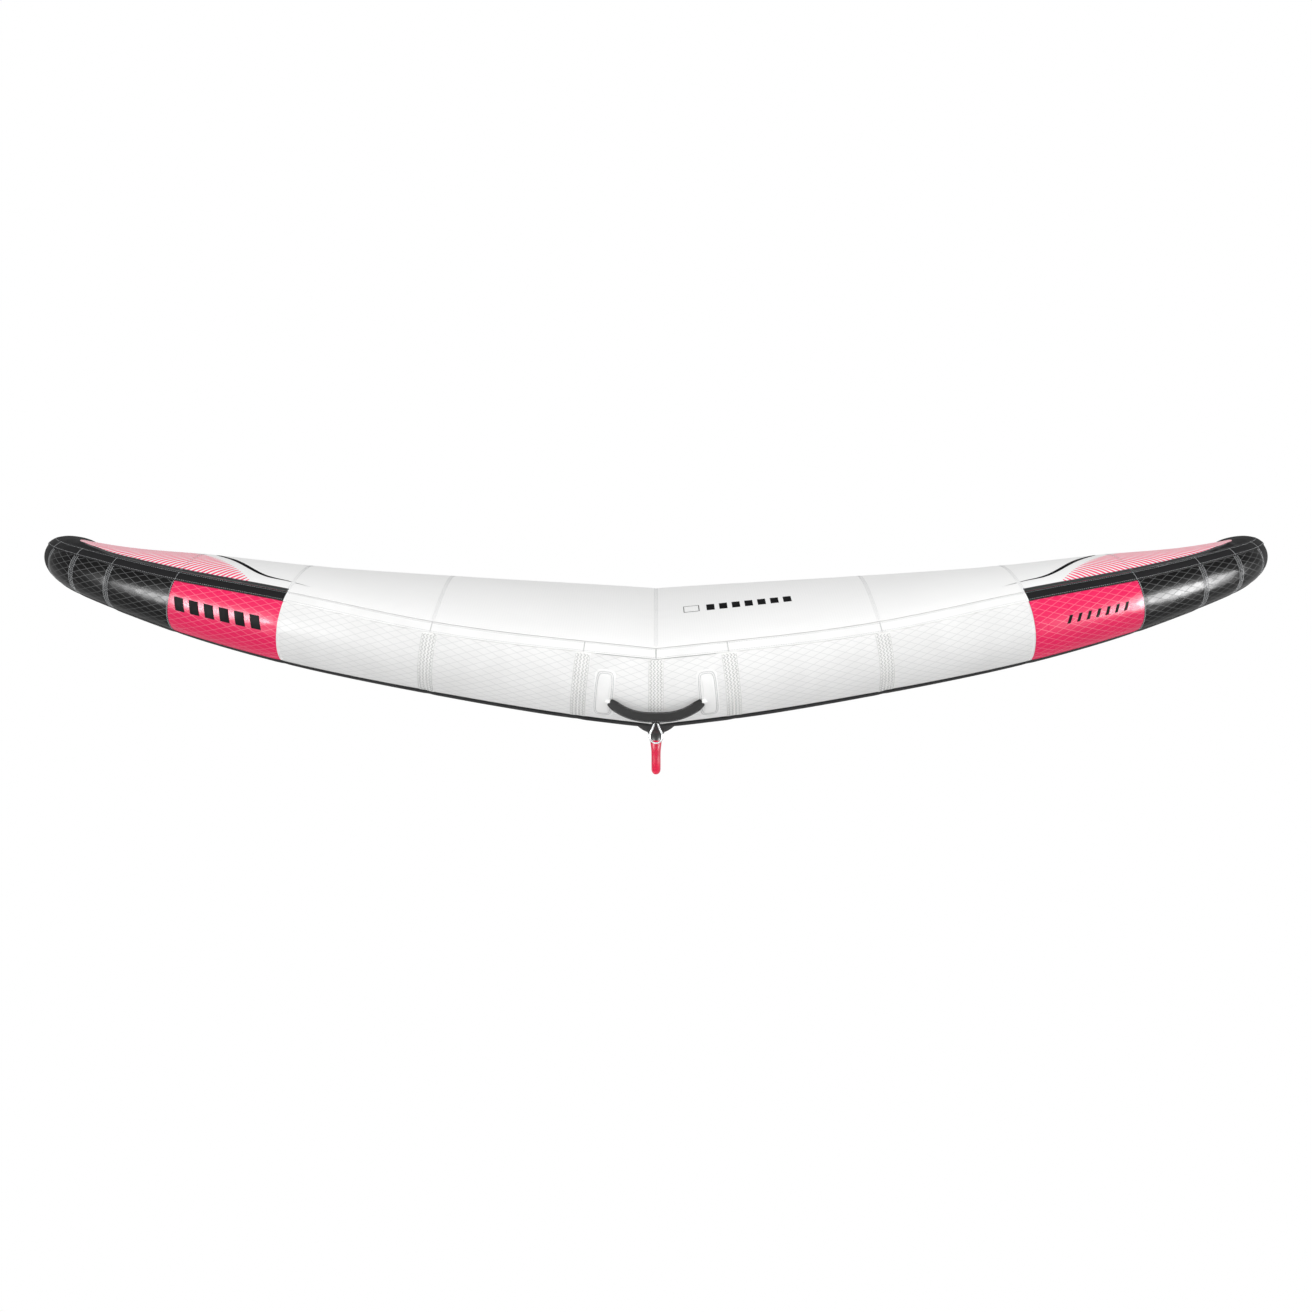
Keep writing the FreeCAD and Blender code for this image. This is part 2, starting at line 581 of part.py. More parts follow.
def build_valve(parts):
    """Flanged neck with a hinged over-cap, drawn upright and then placed on the tube."""
    place = valve_frame()
    tool = tube_loft(spread(KNOTS[1], KNOTS[2], 7), STRUT_TOOL_GAP)
    tool.Placement = place.inverse().multiply(tool.Placement)
    z = FreeCAD.Vector(0, 0, 1)
    flange = Part.makeCylinder(FLANGE_R, 13, FreeCAD.Vector(0, 0, -9), z).cut(tool)
    neck = Part.makeCylinder(NECK_R, NECK_TOP - 2, FreeCAD.Vector(0, 0, 2), z)
    pin_z = NECK_TOP - CAP_SKIRT - 1.0
    lugs = []
    for side in (-1, 1):
        lug = Part.makeBox(2.5, HINGE_OUT - 13, 3.6, FreeCAD.Vector(side * 5.75 - 1.25, 13, pin_z - 3))
        lugs.append(lug.fuse(pole((side * 5.75 - 1.25, HINGE_OUT, pin_z),
                                  (side * 5.75 + 1.25, HINGE_OUT, pin_z), 3.0)))
    pin = pole((-6, HINGE_OUT, pin_z), (6, HINGE_OUT, pin_z), PIN_R)
    body = flange.fuse([neck, pin] + lugs)
    body = body.cut(Part.makeCylinder(BORE_R, 60, FreeCAD.Vector(0, 0, -20), z)).removeSplitter()
    cap = Part.makeCylinder(CAP_OUT, CAP_SKIRT + CAP_TOP, FreeCAD.Vector(0, 0, NECK_TOP - CAP_SKIRT + 0.4), z)
    cap = cap.cut(Part.makeCylinder(CAP_IN, CAP_SKIRT, FreeCAD.Vector(0, 0, NECK_TOP - CAP_SKIRT + 0.4), z))
    arm = Part.makeBox(7, HINGE_OUT - CAP_IN - 0.6, 4.4, FreeCAD.Vector(-3.5, CAP_IN + 0.6, pin_z - 1.8))
    eye = pole((-4.1, HINGE_OUT, pin_z), (4.1, HINGE_OUT, pin_z), EYE_OUT)
    thumb = Part.makeBox(12, 5, 2.0, FreeCAD.Vector(-6, -CAP_OUT - 4, NECK_TOP + 0.2))
    cap = cap.fuse([arm, eye, thumb]).cut(pole((-8, HINGE_OUT, pin_z), (8, HINGE_OUT, pin_z), EYE_R))
    for name, shape in (("valve_base", body), ("valve_cap", cap.removeSplitter())):
        shape.Placement = place.multiply(shape.Placement)
        parts[name] = shape


def hose_path():
    x0, y0, z0 = HOSE_FROM
    straight = Part.makeLine(vec(HOSE_FROM), FreeCAD.Vector(x0, y0 + 46, z0))
    spline = Part.BSplineCurve()
    spline.interpolate(Points=[FreeCAD.Vector(x0, y0 + 46, z0), FreeCAD.Vector(118, 226, -52), vec(HOSE_TO)],
                       InitialTangent=FreeCAD.Vector(0, 130, 0), FinalTangent=FreeCAD.Vector(-130, 0, 0))
    return Part.Wire([straight, spline.toShape()])


def build_hose(parts):
    profile = hoop(HOSE_FROM, (0, 1, 0), HOSE_R)
    parts["air_hose"] = hose_path().makePipeShell([profile], True, True, 1)
    tool = tube_loft(spread(0, KNOTS[1], 5), STRUT_TOOL_GAP)
    x, y, z = HOSE_FROM
    elbow = pole((x, y - 32, z), (x, y - 8, z), 12).fuse(pole((x, y - 10, z), (x, y, z), 7))
    parts["hose_elbow_le"] = elbow.cut(tool)
    x, y, z = HOSE_TO
    elbow = pole((x - 45, y, z), (x - 20, y, z), 12).fuse(pole((x - 22, y, z), (x, y, z), 7))
    parts["hose_elbow_strut"] = elbow.cut(strut_loft(spread(y - 60, y + 60, 5), -WEB_GAP))
    x, y, z = HOSE_FROM
    y = y + 12
    block = Part.makeBox(2 * CLIP_HALF, CLIP_LONG, 2 * CLIP_HALF, FreeCAD.Vector(x - CLIP_HALF, y, z - CLIP_HALF))
    block = block.cut(pole((x, y - 1, z), (x, y + CLIP_LONG + 1, z), CLIP_HOLE))
    hinge_z = z + CLIP_HALF + 3.2
    for side in (-1, 1):
        ear = Part.makeBox(2.5, 7, 5.5, FreeCAD.Vector(x + side * 6.75 - 1.25, y, z + CLIP_HALF - 1))
        block = block.fuse(ear)
    block = block.fuse(pole((x - 7, y + 3.5, hinge_z), (x + 7, y + 3.5, hinge_z), PIN_R))
    parts["hose_clip"] = block.removeSplitter()
    lever = Part.makeBox(10, 22, LEVER_THICK, FreeCAD.Vector(x - 5, y + 3.5, hinge_z - LEVER_THICK / 2))
    lever = lever.fuse(pole((x - 5, y + 3.5, hinge_z), (x + 5, y + 3.5, hinge_z), 2.7))
    lever = lever.cut(pole((x - 9, y + 3.5, hinge_z), (x + 9, y + 3.5, hinge_z), EYE_R))
    parts["hose_clip_lever"] = lever.removeSplitter()


def both(parts, name, shape):
    """Add the piece on the +X side and its mirror image."""
    parts[name + "_r"] = shape
    parts[name + "_l"] = mirrored(shape)


def main():
    os.makedirs("parts", exist_ok=True)
    parts = {}
    build_leading_edge(parts)
    build_canopy(parts)
    build_strut(parts)
    origin = build_handle(parts, "front_handle", FRONT_HANDLE)
    build_handle(parts, "rear_handle", REAR_HANDLE)
    build_nose_handle(parts)
    build_leash(parts)
    build_valve(parts)
    build_hose(parts)
    for name, shape in parts.items():
        shape.translate(origin.negative())
        shape.exportStep(os.path.join("parts", name + ".step"))



main()
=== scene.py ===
import json
import math

import bpy
import numpy as np
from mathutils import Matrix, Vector


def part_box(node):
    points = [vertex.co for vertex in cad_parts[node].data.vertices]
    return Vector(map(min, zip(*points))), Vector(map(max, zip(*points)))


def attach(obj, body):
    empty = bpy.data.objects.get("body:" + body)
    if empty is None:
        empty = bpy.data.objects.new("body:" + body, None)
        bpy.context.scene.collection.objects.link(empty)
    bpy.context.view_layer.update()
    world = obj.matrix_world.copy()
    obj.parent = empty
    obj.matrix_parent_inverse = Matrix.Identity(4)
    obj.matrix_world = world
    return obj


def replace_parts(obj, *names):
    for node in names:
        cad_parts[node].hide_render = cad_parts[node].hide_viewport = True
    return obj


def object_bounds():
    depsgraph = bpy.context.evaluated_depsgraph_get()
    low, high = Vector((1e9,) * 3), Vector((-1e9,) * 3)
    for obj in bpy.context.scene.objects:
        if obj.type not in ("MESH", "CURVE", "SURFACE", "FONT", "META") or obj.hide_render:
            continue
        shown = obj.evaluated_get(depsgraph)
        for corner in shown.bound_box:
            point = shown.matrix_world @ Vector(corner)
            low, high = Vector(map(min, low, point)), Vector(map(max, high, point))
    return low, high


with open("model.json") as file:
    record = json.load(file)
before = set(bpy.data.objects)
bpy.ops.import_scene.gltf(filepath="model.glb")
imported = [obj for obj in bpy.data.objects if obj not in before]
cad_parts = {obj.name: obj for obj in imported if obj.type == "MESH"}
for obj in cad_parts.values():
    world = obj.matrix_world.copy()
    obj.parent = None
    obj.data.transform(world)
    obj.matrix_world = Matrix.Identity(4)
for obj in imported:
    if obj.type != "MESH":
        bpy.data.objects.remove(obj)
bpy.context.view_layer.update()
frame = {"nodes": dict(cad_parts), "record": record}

# Inflatable hand wing.  Sizes here are in millimetres from the nose of the leading edge tube,
# as in the CAD source, and to_frame() turns them into metres in the shared frame.

# ---- driving dimensions, the same as the CAD's
# leading edge axis x y z, tube radius, trailing edge x y z, canopy root angle, canopy fullness
STATIONS = np.array([
    (0, 0, 0, 119.5, 0, 1800, 58, 39, 0.141),
    (184, 9, 21, 118, 184, 1782, 66, 38.5, 0.141),
    (557, 52, 76, 112, 557, 1622, 92, 37, 0.136),
    (920, 142, 137, 101, 915, 1390, 130, 50, 0.146),
    (1210, 250, 199, 84, 1180, 1190, 175, 53, 0.155),
    (1382, 342, 243, 69, 1335, 1060, 212, 60, 0.135),
    (1490, 436, 275, 57, 1432, 975, 254, 68, 0.135),
    (1536, 550, 296, 46, 1478, 930, 304, 76, 0.110),
    (1538, 690, 302, 37, 1498, 915, 324, 84, 0.085),
    (1512, 830, 297, 30, 1506, 880, 329, 90, 0.075),
])
STRUT = np.array([
    (0, -60, 51), (120, -75, 62), (300, -79, 66), (600, -50, 66), (1000, -5, 60),
    (1400, 22, 50), (1700, 24, 38), (1790, 21, 31),
])
TAIL_FULLNESS, TAIL_SLOPE = 0.37, 0.24
NOSE_BLEND = 110
CANOPY_END, BAND_END, TIP_PATCH = 1930, 1860, 1585
SEAMS = (0, 176, 544, 921, 1221, 1414, 1636)
TIP_RING = 1533
SIDES = (("r", 1), ("l", -1))
RING_BAND, PANEL_SEAM, POCKET_WIDTH = 37.0, 11.0, 26
CANOPY_LIFT = 2.0
BAND_WIDTH, BAND_GAP = 28.0, 0.8
SCUFF = (-104.0, -66.0)
WORLD_BASE, WORLD_LOBE = 0.50, 1.12
POCKETS = (380, 760, 1090)
STRAP_AXIS = (-107.0, -52.0)
STRAP_HALF, STRAP_DROP, STRAP_LEAN = 112.0, 37.0, 9.0

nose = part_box("ring_tape_center")[0]
TAPE_OUT = STATIONS[0, 3] + 0.9
SHIFT = np.array([0.0, nose.y + TAPE_OUT / 1000, nose.z + TAPE_OUT / 1000])


def to_frame(points):
    return np.asarray(points, float) / 1000 + SHIFT


# ---------------------------------------------------------------- curves and surfaces

def cubic(knots, values):
    """Natural cubic spline, ready for arrays."""
    knots, values = np.asarray(knots, float), np.asarray(values, float)
    step = np.diff(knots)
    last = len(step)
    system = np.eye(last + 1)
    rhs = np.zeros(last + 1)
    for i in range(1, last):
        system[i, i - 1:i + 2] = step[i - 1], 2 * (step[i - 1] + step[i]), step[i]
        rhs[i] = 6 * ((values[i + 1] - values[i]) / step[i] - (values[i] - values[i - 1]) / step[i - 1])
    bend = np.linalg.solve(system, rhs)

    def at(s):
        i = np.clip(np.searchsorted(knots, s, side="left") - 1, 0, last - 1)
        a = (knots[i + 1] - s) / step[i]
        b = (s - knots[i]) / step[i]
        curve = ((a ** 3 - a) * bend[i] + (b ** 3 - b) * bend[i + 1]) * step[i] ** 2 / 6
        return a * values[i] + b * values[i + 1] + curve

    return at


def run_length(points):
    """Distance gone along a row of points."""
    return np.concatenate([[0], np.cumsum(np.linalg.norm(np.diff(points, axis=0), axis=1))])


KNOTS = run_length(STATIONS[:, :3])
TIP = KNOTS[-1]
LAW = [cubic(KNOTS, STATIONS[:, k]) for k in range(9)]
TUBE_R, ROOT_ANGLE = LAW[3], LAW[7]
STRUT_Z, STRUT_R = [cubic(STRUT[:, 0], STRUT[:, k]) for k in (1, 2)]


def unit(v):
    return v / np.linalg.norm(v, axis=-1, keepdims=True)


def tube_axis(s):
    return np.stack([LAW[k](s) for k in range(3)], -1)


def tube_frame(s):
    """Tangent, forward and up directions of the leading edge tube, for s >= 0."""
    run = unit(tube_axis(np.minimum(s + 1, TIP)) - tube_axis(np.maximum(s - 1, 0)))
    share = np.clip(s / NOSE_BLEND, 0, 1)
    share = (share * share * (3 - 2 * share))[..., None]
    run = unit((1 - share) * np.array([1.0, 0, 0]) + share * run)
    up = unit(np.array([0, 0, 1.0]) - run * run[..., 2:])
    return run, np.cross(run, up), up


def on_tube(s, angle, lift=0.0):
    """Points on the tube. Negative s is the -X half; angle 0 faces forward and 90 is the top."""
    s, angle, lift = np.broadcast_arrays(*[np.asarray(v, float) for v in (s, angle, lift)])
    far = np.abs(s)
    run, ahead, up = tube_frame(far)
    a = np.radians(angle)[..., None]
    points = tube_axis(far) + (TUBE_R(far) + lift)[..., None] * (np.cos(a) * ahead + np.sin(a) * up)
    points[..., 0] *= np.where(s < 0, -1, 1)
    return points


def canopy_middle(s, c):
    run, ahead, up = tube_frame(s)
    a = np.radians(ROOT_ANGLE(s))[..., None]
    root = tube_axis(s) + (TUBE_R(s) + CANOPY_LIFT)[..., None] * (np.cos(a) * ahead + np.sin(a) * up)
    tail = np.stack([LAW[k](s) for k in (4, 5, 6)], -1)
    chord = np.linalg.norm(tail - root, axis=-1, keepdims=True)
    lift = root + LAW[8](s)[..., None] * chord * (np.cos(a) * up - np.sin(a) * ahead)
    flat = np.linalg.norm((tail - root)[..., :2], axis=-1, keepdims=True)
    back = TAIL_FULLNESS * chord
    rear = tail - (tail - root) / flat * back
    rear[..., 2] = tail[..., 2] + (TAIL_SLOPE * back)[..., 0]
    c = c[..., None]
    return (1 - c) ** 3 * root + 3 * c * (1 - c) ** 2 * lift + 3 * c * c * (1 - c) * rear + c ** 3 * tail


def on_canopy(s, c, lift=0.0):
    """Points on the canopy at tube distance s and chord share c, moved along its normal."""
    s, c, lift = np.broadcast_arrays(*[np.asarray(v, float) for v in (s, c, lift)])
    far = np.abs(s)
    along = canopy_middle(far + 2, c) - canopy_middle(np.maximum(far - 2, 0), c)
    back = canopy_middle(far, np.minimum(c + 0.005, 1)) - canopy_middle(far, np.maximum(c - 0.005, 0))
    normal = np.cross(along, back)
    normal[..., 0] = np.where(far == 0, 0, normal[..., 0])
    points = canopy_middle(far, c) + lift[..., None] * unit(normal)
    points[..., 0] *= np.where(s < 0, -1, 1)
    return points


def on_strut(y, angle, lift=0.0):
    """Points on the strut; angle 0 is its +X side and 90 its top."""
    y, angle, lift = np.broadcast_arrays(*[np.asarray(v, float) for v in (y, angle, lift)])
    a = np.radians(angle)
    reach = STRUT_R(y) + lift
    return np.stack([reach * np.cos(a), y, STRUT_Z(y) + reach * np.sin(a)], -1)


def waves(seed, count, low, high):
    """Smooth random function of one variable, of about unit height."""
    rng = np.random.default_rng(seed)
    rates, phases = rng.uniform(low, high, count), rng.uniform(0, 2 * math.pi, count)
    size = rng.uniform(0.5, 1, count)
    return lambda t: sum(h * np.sin(w * t + p) for h, w, p in zip(size, rates, phases)) / math.sqrt(count)


# ---------------------------------------------------------------- meshes

def mesh_object(name, verts, faces, uv, material, slot=None, body="wing"):
    """Object from numpy arrays in mm; uv has one pair for each corner, in mm along the cloth.

    material is a key of MATERIALS; slot is not used.
    """
    mesh = bpy.data.meshes.new(name)
    mesh.vertices.add(len(verts))
    mesh.vertices.foreach_set("co", to_frame(verts).ravel())
    mesh.loops.add(faces.size)
    mesh.loops.foreach_set("vertex_index", faces.ravel().astype(np.int32))
    mesh.polygons.add(len(faces))
    mesh.polygons.foreach_set("loop_start", np.arange(len(faces), dtype=np.int32) * faces.shape[1])
    mesh.update(calc_edges=True)
    if uv is not None:
        layer = mesh.uv_layers.new(name="cloth")
        layer.data.foreach_set("uv", (uv.reshape(-1, 2) / 1000).ravel())
    mesh.polygons.foreach_set("use_smooth", np.ones(len(faces), bool))
    mesh.materials.append(MATERIALS[material])
    mesh.validate()
    obj = bpy.data.objects.new(name, mesh)
    bpy.context.collection.objects.link(obj)
    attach(obj, body)
    slot or material
    return obj


def grid_faces(rows, cols, wrap=False, flip=False):
    """Quads of a grid as corner (row, column) pairs; wrap joins the last column to the first."""
    i, j = np.meshgrid(np.arange(rows - 1), np.arange(cols if wrap else cols - 1), indexing="ij")
    corners = [(i, j), (i, j + 1), (i + 1, j + 1), (i + 1, j)]
    if flip:
        corners.reverse()
    row = np.stack([c[0].ravel() for c in corners], -1)
    col = np.stack([c[1].ravel() for c in corners], -1)
    return row, col


def surface(name, points, uv, material, wrap=False, flip=False, thick=0.0, slot=None, body="wing"):
    """Object from a grid of points. uv is a grid too, with one more column when it wraps."""
    rows, cols = points.shape[:2]
    row, col = grid_faces(rows, cols, wrap, flip)
    faces = row * cols + col % cols
    obj = mesh_object(name, points.reshape(-1, 3), faces, uv[row, col], material, slot, body)
    if thick:
        shell = obj.modifiers.new("thickness", "SOLIDIFY")
        shell.thickness = thick / 1000
        shell.offset = 0
    return obj


def strip(name, place, stops, across, material, flip=False, cloth=None, inner=5, slot=None):
    """Raised band: place(stop, across, lift) with across 0..1; its long edges turn down.

    across holds the lift of its edges, the lift of its middle and its width. cloth(stop, across)
    gives other print coordinates than the distances along and across.
    """
    share = np.concatenate([[0, 0.001, 0.03], np.linspace(0.1, 0.9, inner), [0.97, 0.999, 1]])
    low, high, width = across
    lift = np.where((share == 0) | (share == 1), low, high)
    lift = lift - (high - low) * 0.25 * np.exp(-np.minimum(share, 1 - share) / 0.03)
    lift[0] = lift[-1] = low
    s, v = np.meshgrid(stops, share, indexing="ij")
    points = place(s, v, np.broadcast_to(lift, s.shape))
    uv = cloth(s, v) if cloth else np.stack([s, v * width], -1)
    return surface(name, points, uv, material, flip=flip, slot=slot)


def threads(name, groups, material, size, slot="white_tape", body="wing"):
    """Stitches: one short six-sided thread with pinched ends for each start and end point.

    groups holds (starts, ends, normals) of one row of stitches each.
    """
    starts, ends, normals = [np.concatenate([group[k] for group in groups]) for k in range(3)]
    run = unit(ends - starts)
    side = unit(np.cross(normals, run))
    out = np.cross(run, side)
    sides = 6
    turn = np.linspace(0, 2 * math.pi, sides, endpoint=False)
    length = np.linalg.norm(ends - starts, axis=-1)[:, None, None]
    rings = []
    for share, radius, rise in ((0.0, 0.35, -0.3), (0.2, 1.0, 0.5), (0.8, 1.0, 0.5), (1.0, 0.35, -0.3)):
        centre = starts[:, None] + run[:, None] * length * share + out[:, None] * size * rise
        ring = size * radius * (np.cos(turn)[None, :, None] * side[:, None]
                                + np.sin(turn)[None, :, None] * out[:, None])
        rings.append(centre + ring)
    verts = np.stack(rings, 1)
    count = len(starts)
    row, col = grid_faces(len(rings), sides, wrap=True, flip=True)
    base = (np.arange(count) * len(rings) * sides)[:, None, None]
    faces = (base + (row * sides + col % sides)[None]).reshape(-1, 4)
    caps = []
    for k, order in ((0, 1), (len(rings) - 1, -1)):
        ring = np.arange(sides)[::order] + k * sides
        for quad in ((0, 1, 2, 3), (0, 3, 4, 5)):
            caps.append(base[:, 0] + ring[list(quad)][None])
    faces = np.concatenate([faces] + caps)
    return mesh_object(name, verts.reshape(-1, 3), faces, None, material, slot, body)


def dashes(place, line, pitch, fill=0.68):
    """Starts, ends and normals of running stitches along line = (u, v), for place(u, v, lift)."""
    u, v = line
    gone = run_length(place(u, v, np.zeros_like(u)))
    first = np.arange(0, gone[-1] - pitch, pitch)
    ends = [(np.interp(at, gone, u), np.interp(at, gone, v)) for at in (first, first + pitch * fill)]
    zero = np.zeros_like(first)
    a, b = [place(uu, vv, zero) for uu, vv in ends]
    return a, b, unit(place(*ends[0], zero + 1) - a)


def zigzag(place, line, swing, pitch):
    """The same for zigzag stitches that swing by (du, dv) across the line."""
    u, v = line
    gone = run_length(place(u, v, np.zeros_like(u)))
    at = np.arange(0, gone[-1], pitch / 2)
    side = np.where(np.arange(len(at)) % 2, 0.5, -0.5)
    uu = np.interp(at, gone, u) + swing[0] * side
    vv = np.interp(at, gone, v) + swing[1] * side
    zero = np.zeros_like(uu)
    points = place(uu, vv, zero)
    normal = unit(place(uu, vv, zero + 1) - points)
    return points[:-1], points[1:], normal[:-1]


# ---------------------------------------------------------------- materials

class Nodes:
    """Small helper for building a node material."""

    def __init__(self, name, slot_name, color, rough, **sockets):
        self.material = bpy.data.materials.new(name)
        self.material.use_nodes = True
        self.tree = self.material.node_tree
        self.shader = self.tree.nodes["Principled BSDF"]
        self.slot = slot_name
        self.shader.inputs["Base Color"].default_value = (*color, 1)
        self.shader.inputs["Roughness"].default_value = rough
        for key, value in sockets.items():
            self.shader.inputs[key.replace("_", " ")].default_value = value

    def add(self, kind, **values):
        node = self.tree.nodes.new(kind)
        for key, value in values.items():
            setattr(node, key, value)
        return node

    def link(self, source, target):
        self.tree.links.new(source, target)

    def math(self, operation, *values):
        node = self.add("ShaderNodeMath", operation=operation)
        for socket, value in zip(node.inputs, values):
            if isinstance(value, (int, float)):
                socket.default_value = value
            else:
                self.link(value, socket)
        return node.outputs[0]

    def ramp(self, value, low, high, to_low=0.0, to_high=1.0):
        node = self.add("ShaderNodeMapRange", interpolation_type="SMOOTHSTEP")
        for key, number in (("From Min", low), ("From Max", high), ("To Min", to_low), ("To Max", to_high)):
            node.inputs[key].default_value = number
        self.link(value, node.inputs["Value"])
        return node.outputs["Result"]

    def mix(self, share, a, b):
        node = self.add("ShaderNodeMix", data_type="RGBA")
        for socket, value in ((node.inputs["Factor"], share), (node.inputs["A"], a), (node.inputs["B"], b)):
            if isinstance(value, tuple):
                node_colour = (*value, 1)
                socket.default_value = node_colour
            elif isinstance(value, (int, float)):
                socket.default_value = value
            else:
                self.link(value, socket)
        return node.outputs["Result"]

    def cloth_uv(self):
        uv = self.add("ShaderNodeUVMap", uv_map="cloth")
        split = self.add("ShaderNodeSeparateXYZ")
        self.link(uv.outputs[0], split.inputs[0])
        return split.outputs[0], split.outputs[1]

    def place(self):
        return self.add("ShaderNodeTexCoord").outputs["Object"]

    def noise(self, scale, detail=3.0, rough=0.55, where=None):
        node = self.add("ShaderNodeTexNoise")
        node.inputs["Scale"].default_value = scale
        node.inputs["Detail"].default_value = detail
        node.inputs["Roughness"].default_value = rough
        self.link(where or self.place(), node.inputs["Vector"])
        return node.outputs["Fac"]

    def bump(self, height, distance, strength=1.0, after=None):
        node = self.add("ShaderNodeBump")
        node.inputs["Distance"].default_value = distance
        node.inputs["Strength"].default_value = strength
        self.link(height, node.inputs["Height"])
        if after:
            self.link(after, node.inputs["Normal"])
        return node.outputs["Normal"]

    def stripes(self, value, pitch, half):
        """1 on lines of half-width half that repeat every pitch."""
        cell = self.math("DIVIDE", value, pitch)
        near = self.math("PINGPONG", cell, 0.5)
        return self.ramp(near, half / pitch, half / pitch * 1.9, 1.0, 0.0)

    def grid_cells(self, u, v, wide, tall, half):
        """Diamond grid: line mask and pillow height inside the cells."""
        a = self.math("DIVIDE", u, wide)
        b = self.math("DIVIDE", v, tall)
        lines, pillow = None, None
        for operation in ("ADD", "SUBTRACT"):
            near = self.math("PINGPONG", self.math(operation, a, b), 0.5)
            line = self.ramp(near, half, half * 2.0, 1.0, 0.0)
            puff = self.ramp(near, 0.0, 0.45)
            lines = line if lines is None else self.math("MAXIMUM", lines, line)
            pillow = puff if pillow is None else self.math("MULTIPLY", pillow, puff)
        return lines, pillow

    def finish(self, colour=None, rough=None, normal=None):
        for source, key in ((colour, "Base Color"), (rough, "Roughness"), (normal, "Normal")):
            if source is not None:
                self.link(source, self.shader.inputs[key])
        return self.material


def ripstop(name, slot_name, base, line, rough, line_share, specular):
    """Coated cloth with the raised diamond yarns of the tube."""
    n = Nodes(name, slot_name, base, rough, Specular_IOR_Level=specular)
    u, v = n.cloth_uv()
    lines, pillow = n.grid_cells(u, v, 0.039, 0.0175, 0.022)
    cloud = n.noise(9.0)
    body = n.mix(n.ramp(cloud, 0.35, 0.7), base, tuple(c * 0.95 for c in base))
    yarn = n.math("MULTIPLY", lines, line_share)
    colour = n.mix(yarn, body, line)
    weave = n.math("ADD", n.stripes(u, 0.0012, 0.0003), n.stripes(v, 0.0012, 0.0003))
    height = n.math("ADD", n.math("MULTIPLY", lines, 0.5), pillow)
    normal = n.bump(height, 0.0003, 0.22)
    normal = n.bump(weave, 0.00003, 0.15, normal)
    cells = n.ramp(cloud, 0.3, 0.7, rough - 0.03, rough + 0.04)
    roughness = n.math("ADD", cells, n.math("MULTIPLY", yarn, 0.45))
    return n.finish(colour, roughness, normal)


def tape_cloth(name, slot_name, base, rough, **sockets):
    """Woven seam tape."""
    n = Nodes(name, slot_name, base, rough, **sockets)
    u, v = n.cloth_uv()
    rib = n.stripes(u, 0.0016, 0.0004)
    cross = n.stripes(v, 0.0016, 0.0004)
    weave = n.math("ADD", rib, cross)
    cloud = n.noise(14.0)
    colour = n.mix(n.ramp(cloud, 0.3, 0.75), base, tuple(c * 0.93 for c in base))
    return n.finish(colour, n.ramp(cloud, 0.3, 0.7, rough - 0.05, rough + 0.05), n.bump(weave, 0.00008, 0.6))


def canopy_cloth(name, base, hatch):
    """Thin white ripstop; hatch adds the tapering pink stripes near the tips."""
    n = Nodes(name, "canopy_cloth", base, 0.5, Specular_IOR_Level=0.35, Sheen_Weight=0.08)
    u, v = n.cloth_uv()
    warp = n.stripes(u, 0.0062, 0.0004)
    weft = n.stripes(v, 0.0062, 0.0004)
    square = n.math("MAXIMUM", warp, weft)
    cloud = n.noise(3.0)
    body = n.mix(n.ramp(cloud, 0.3, 0.7), base, tuple(c * 0.975 for c in base))
    colour = n.mix(n.math("MULTIPLY", square, 0.10), body, (0.55, 0.56, 0.58))
    if hatch:
        far = n.math("ABSOLUTE", u)
        ahead = n.math("SUBTRACT", n.math("SUBTRACT", far, 1.013), n.math("MULTIPLY", v, 1.13))
        across = n.math("ADD", n.math("MULTIPLY", far, 0.85), n.math("MULTIPLY", v, 0.53))
        near = n.math("PINGPONG", n.math("DIVIDE", across, 0.0117), 0.5)
        width = n.ramp(ahead, 0.0, 0.03, 0.16, 0.26)
        stripe = n.math("SUBTRACT", width, near)
        mask = n.ramp(stripe, -0.02, 0.02)
        mask = n.math("MULTIPLY", mask, n.ramp(ahead, -0.001, 0.004))
        colour = n.mix(mask, colour, (0.93, 0.03, 0.15))
        margin = n.ramp(far, 1.42, 1.62, 0.011, 0.035)
        border = n.math("LESS_THAN", n.math("SUBTRACT", v, margin), 0.0)
        beyond = n.math("GREATER_THAN", far, 1.64)
        border = n.math("MAXIMUM", n.math("MULTIPLY", border, n.math("GREATER_THAN", far, 0.9215)), beyond)
        colour = n.mix(border, colour, (0.008, 0.008, 0.009))
    height = n.math("ADD", square, n.math("MULTIPLY", n.noise(55.0, 2.0), 0.6))
    return n.finish(colour, None, n.bump(height, 0.00012, 0.5))


def moulded(name, slot_name, base, rough, grain, depth, **sockets):
    """Moulded plastic or rubber with a fine grain."""
    n = Nodes(name, slot_name, base, rough, **sockets)
    cloud = n.noise(30.0)
    colour = n.mix(n.ramp(cloud, 0.3, 0.75), base, tuple(c * 0.88 for c in base))
    fine = n.noise(grain, 4.0, 0.6)
    return n.finish(colour, n.ramp(cloud, 0.3, 0.7, rough - 0.06, rough + 0.06), n.bump(fine, depth, 0.7))


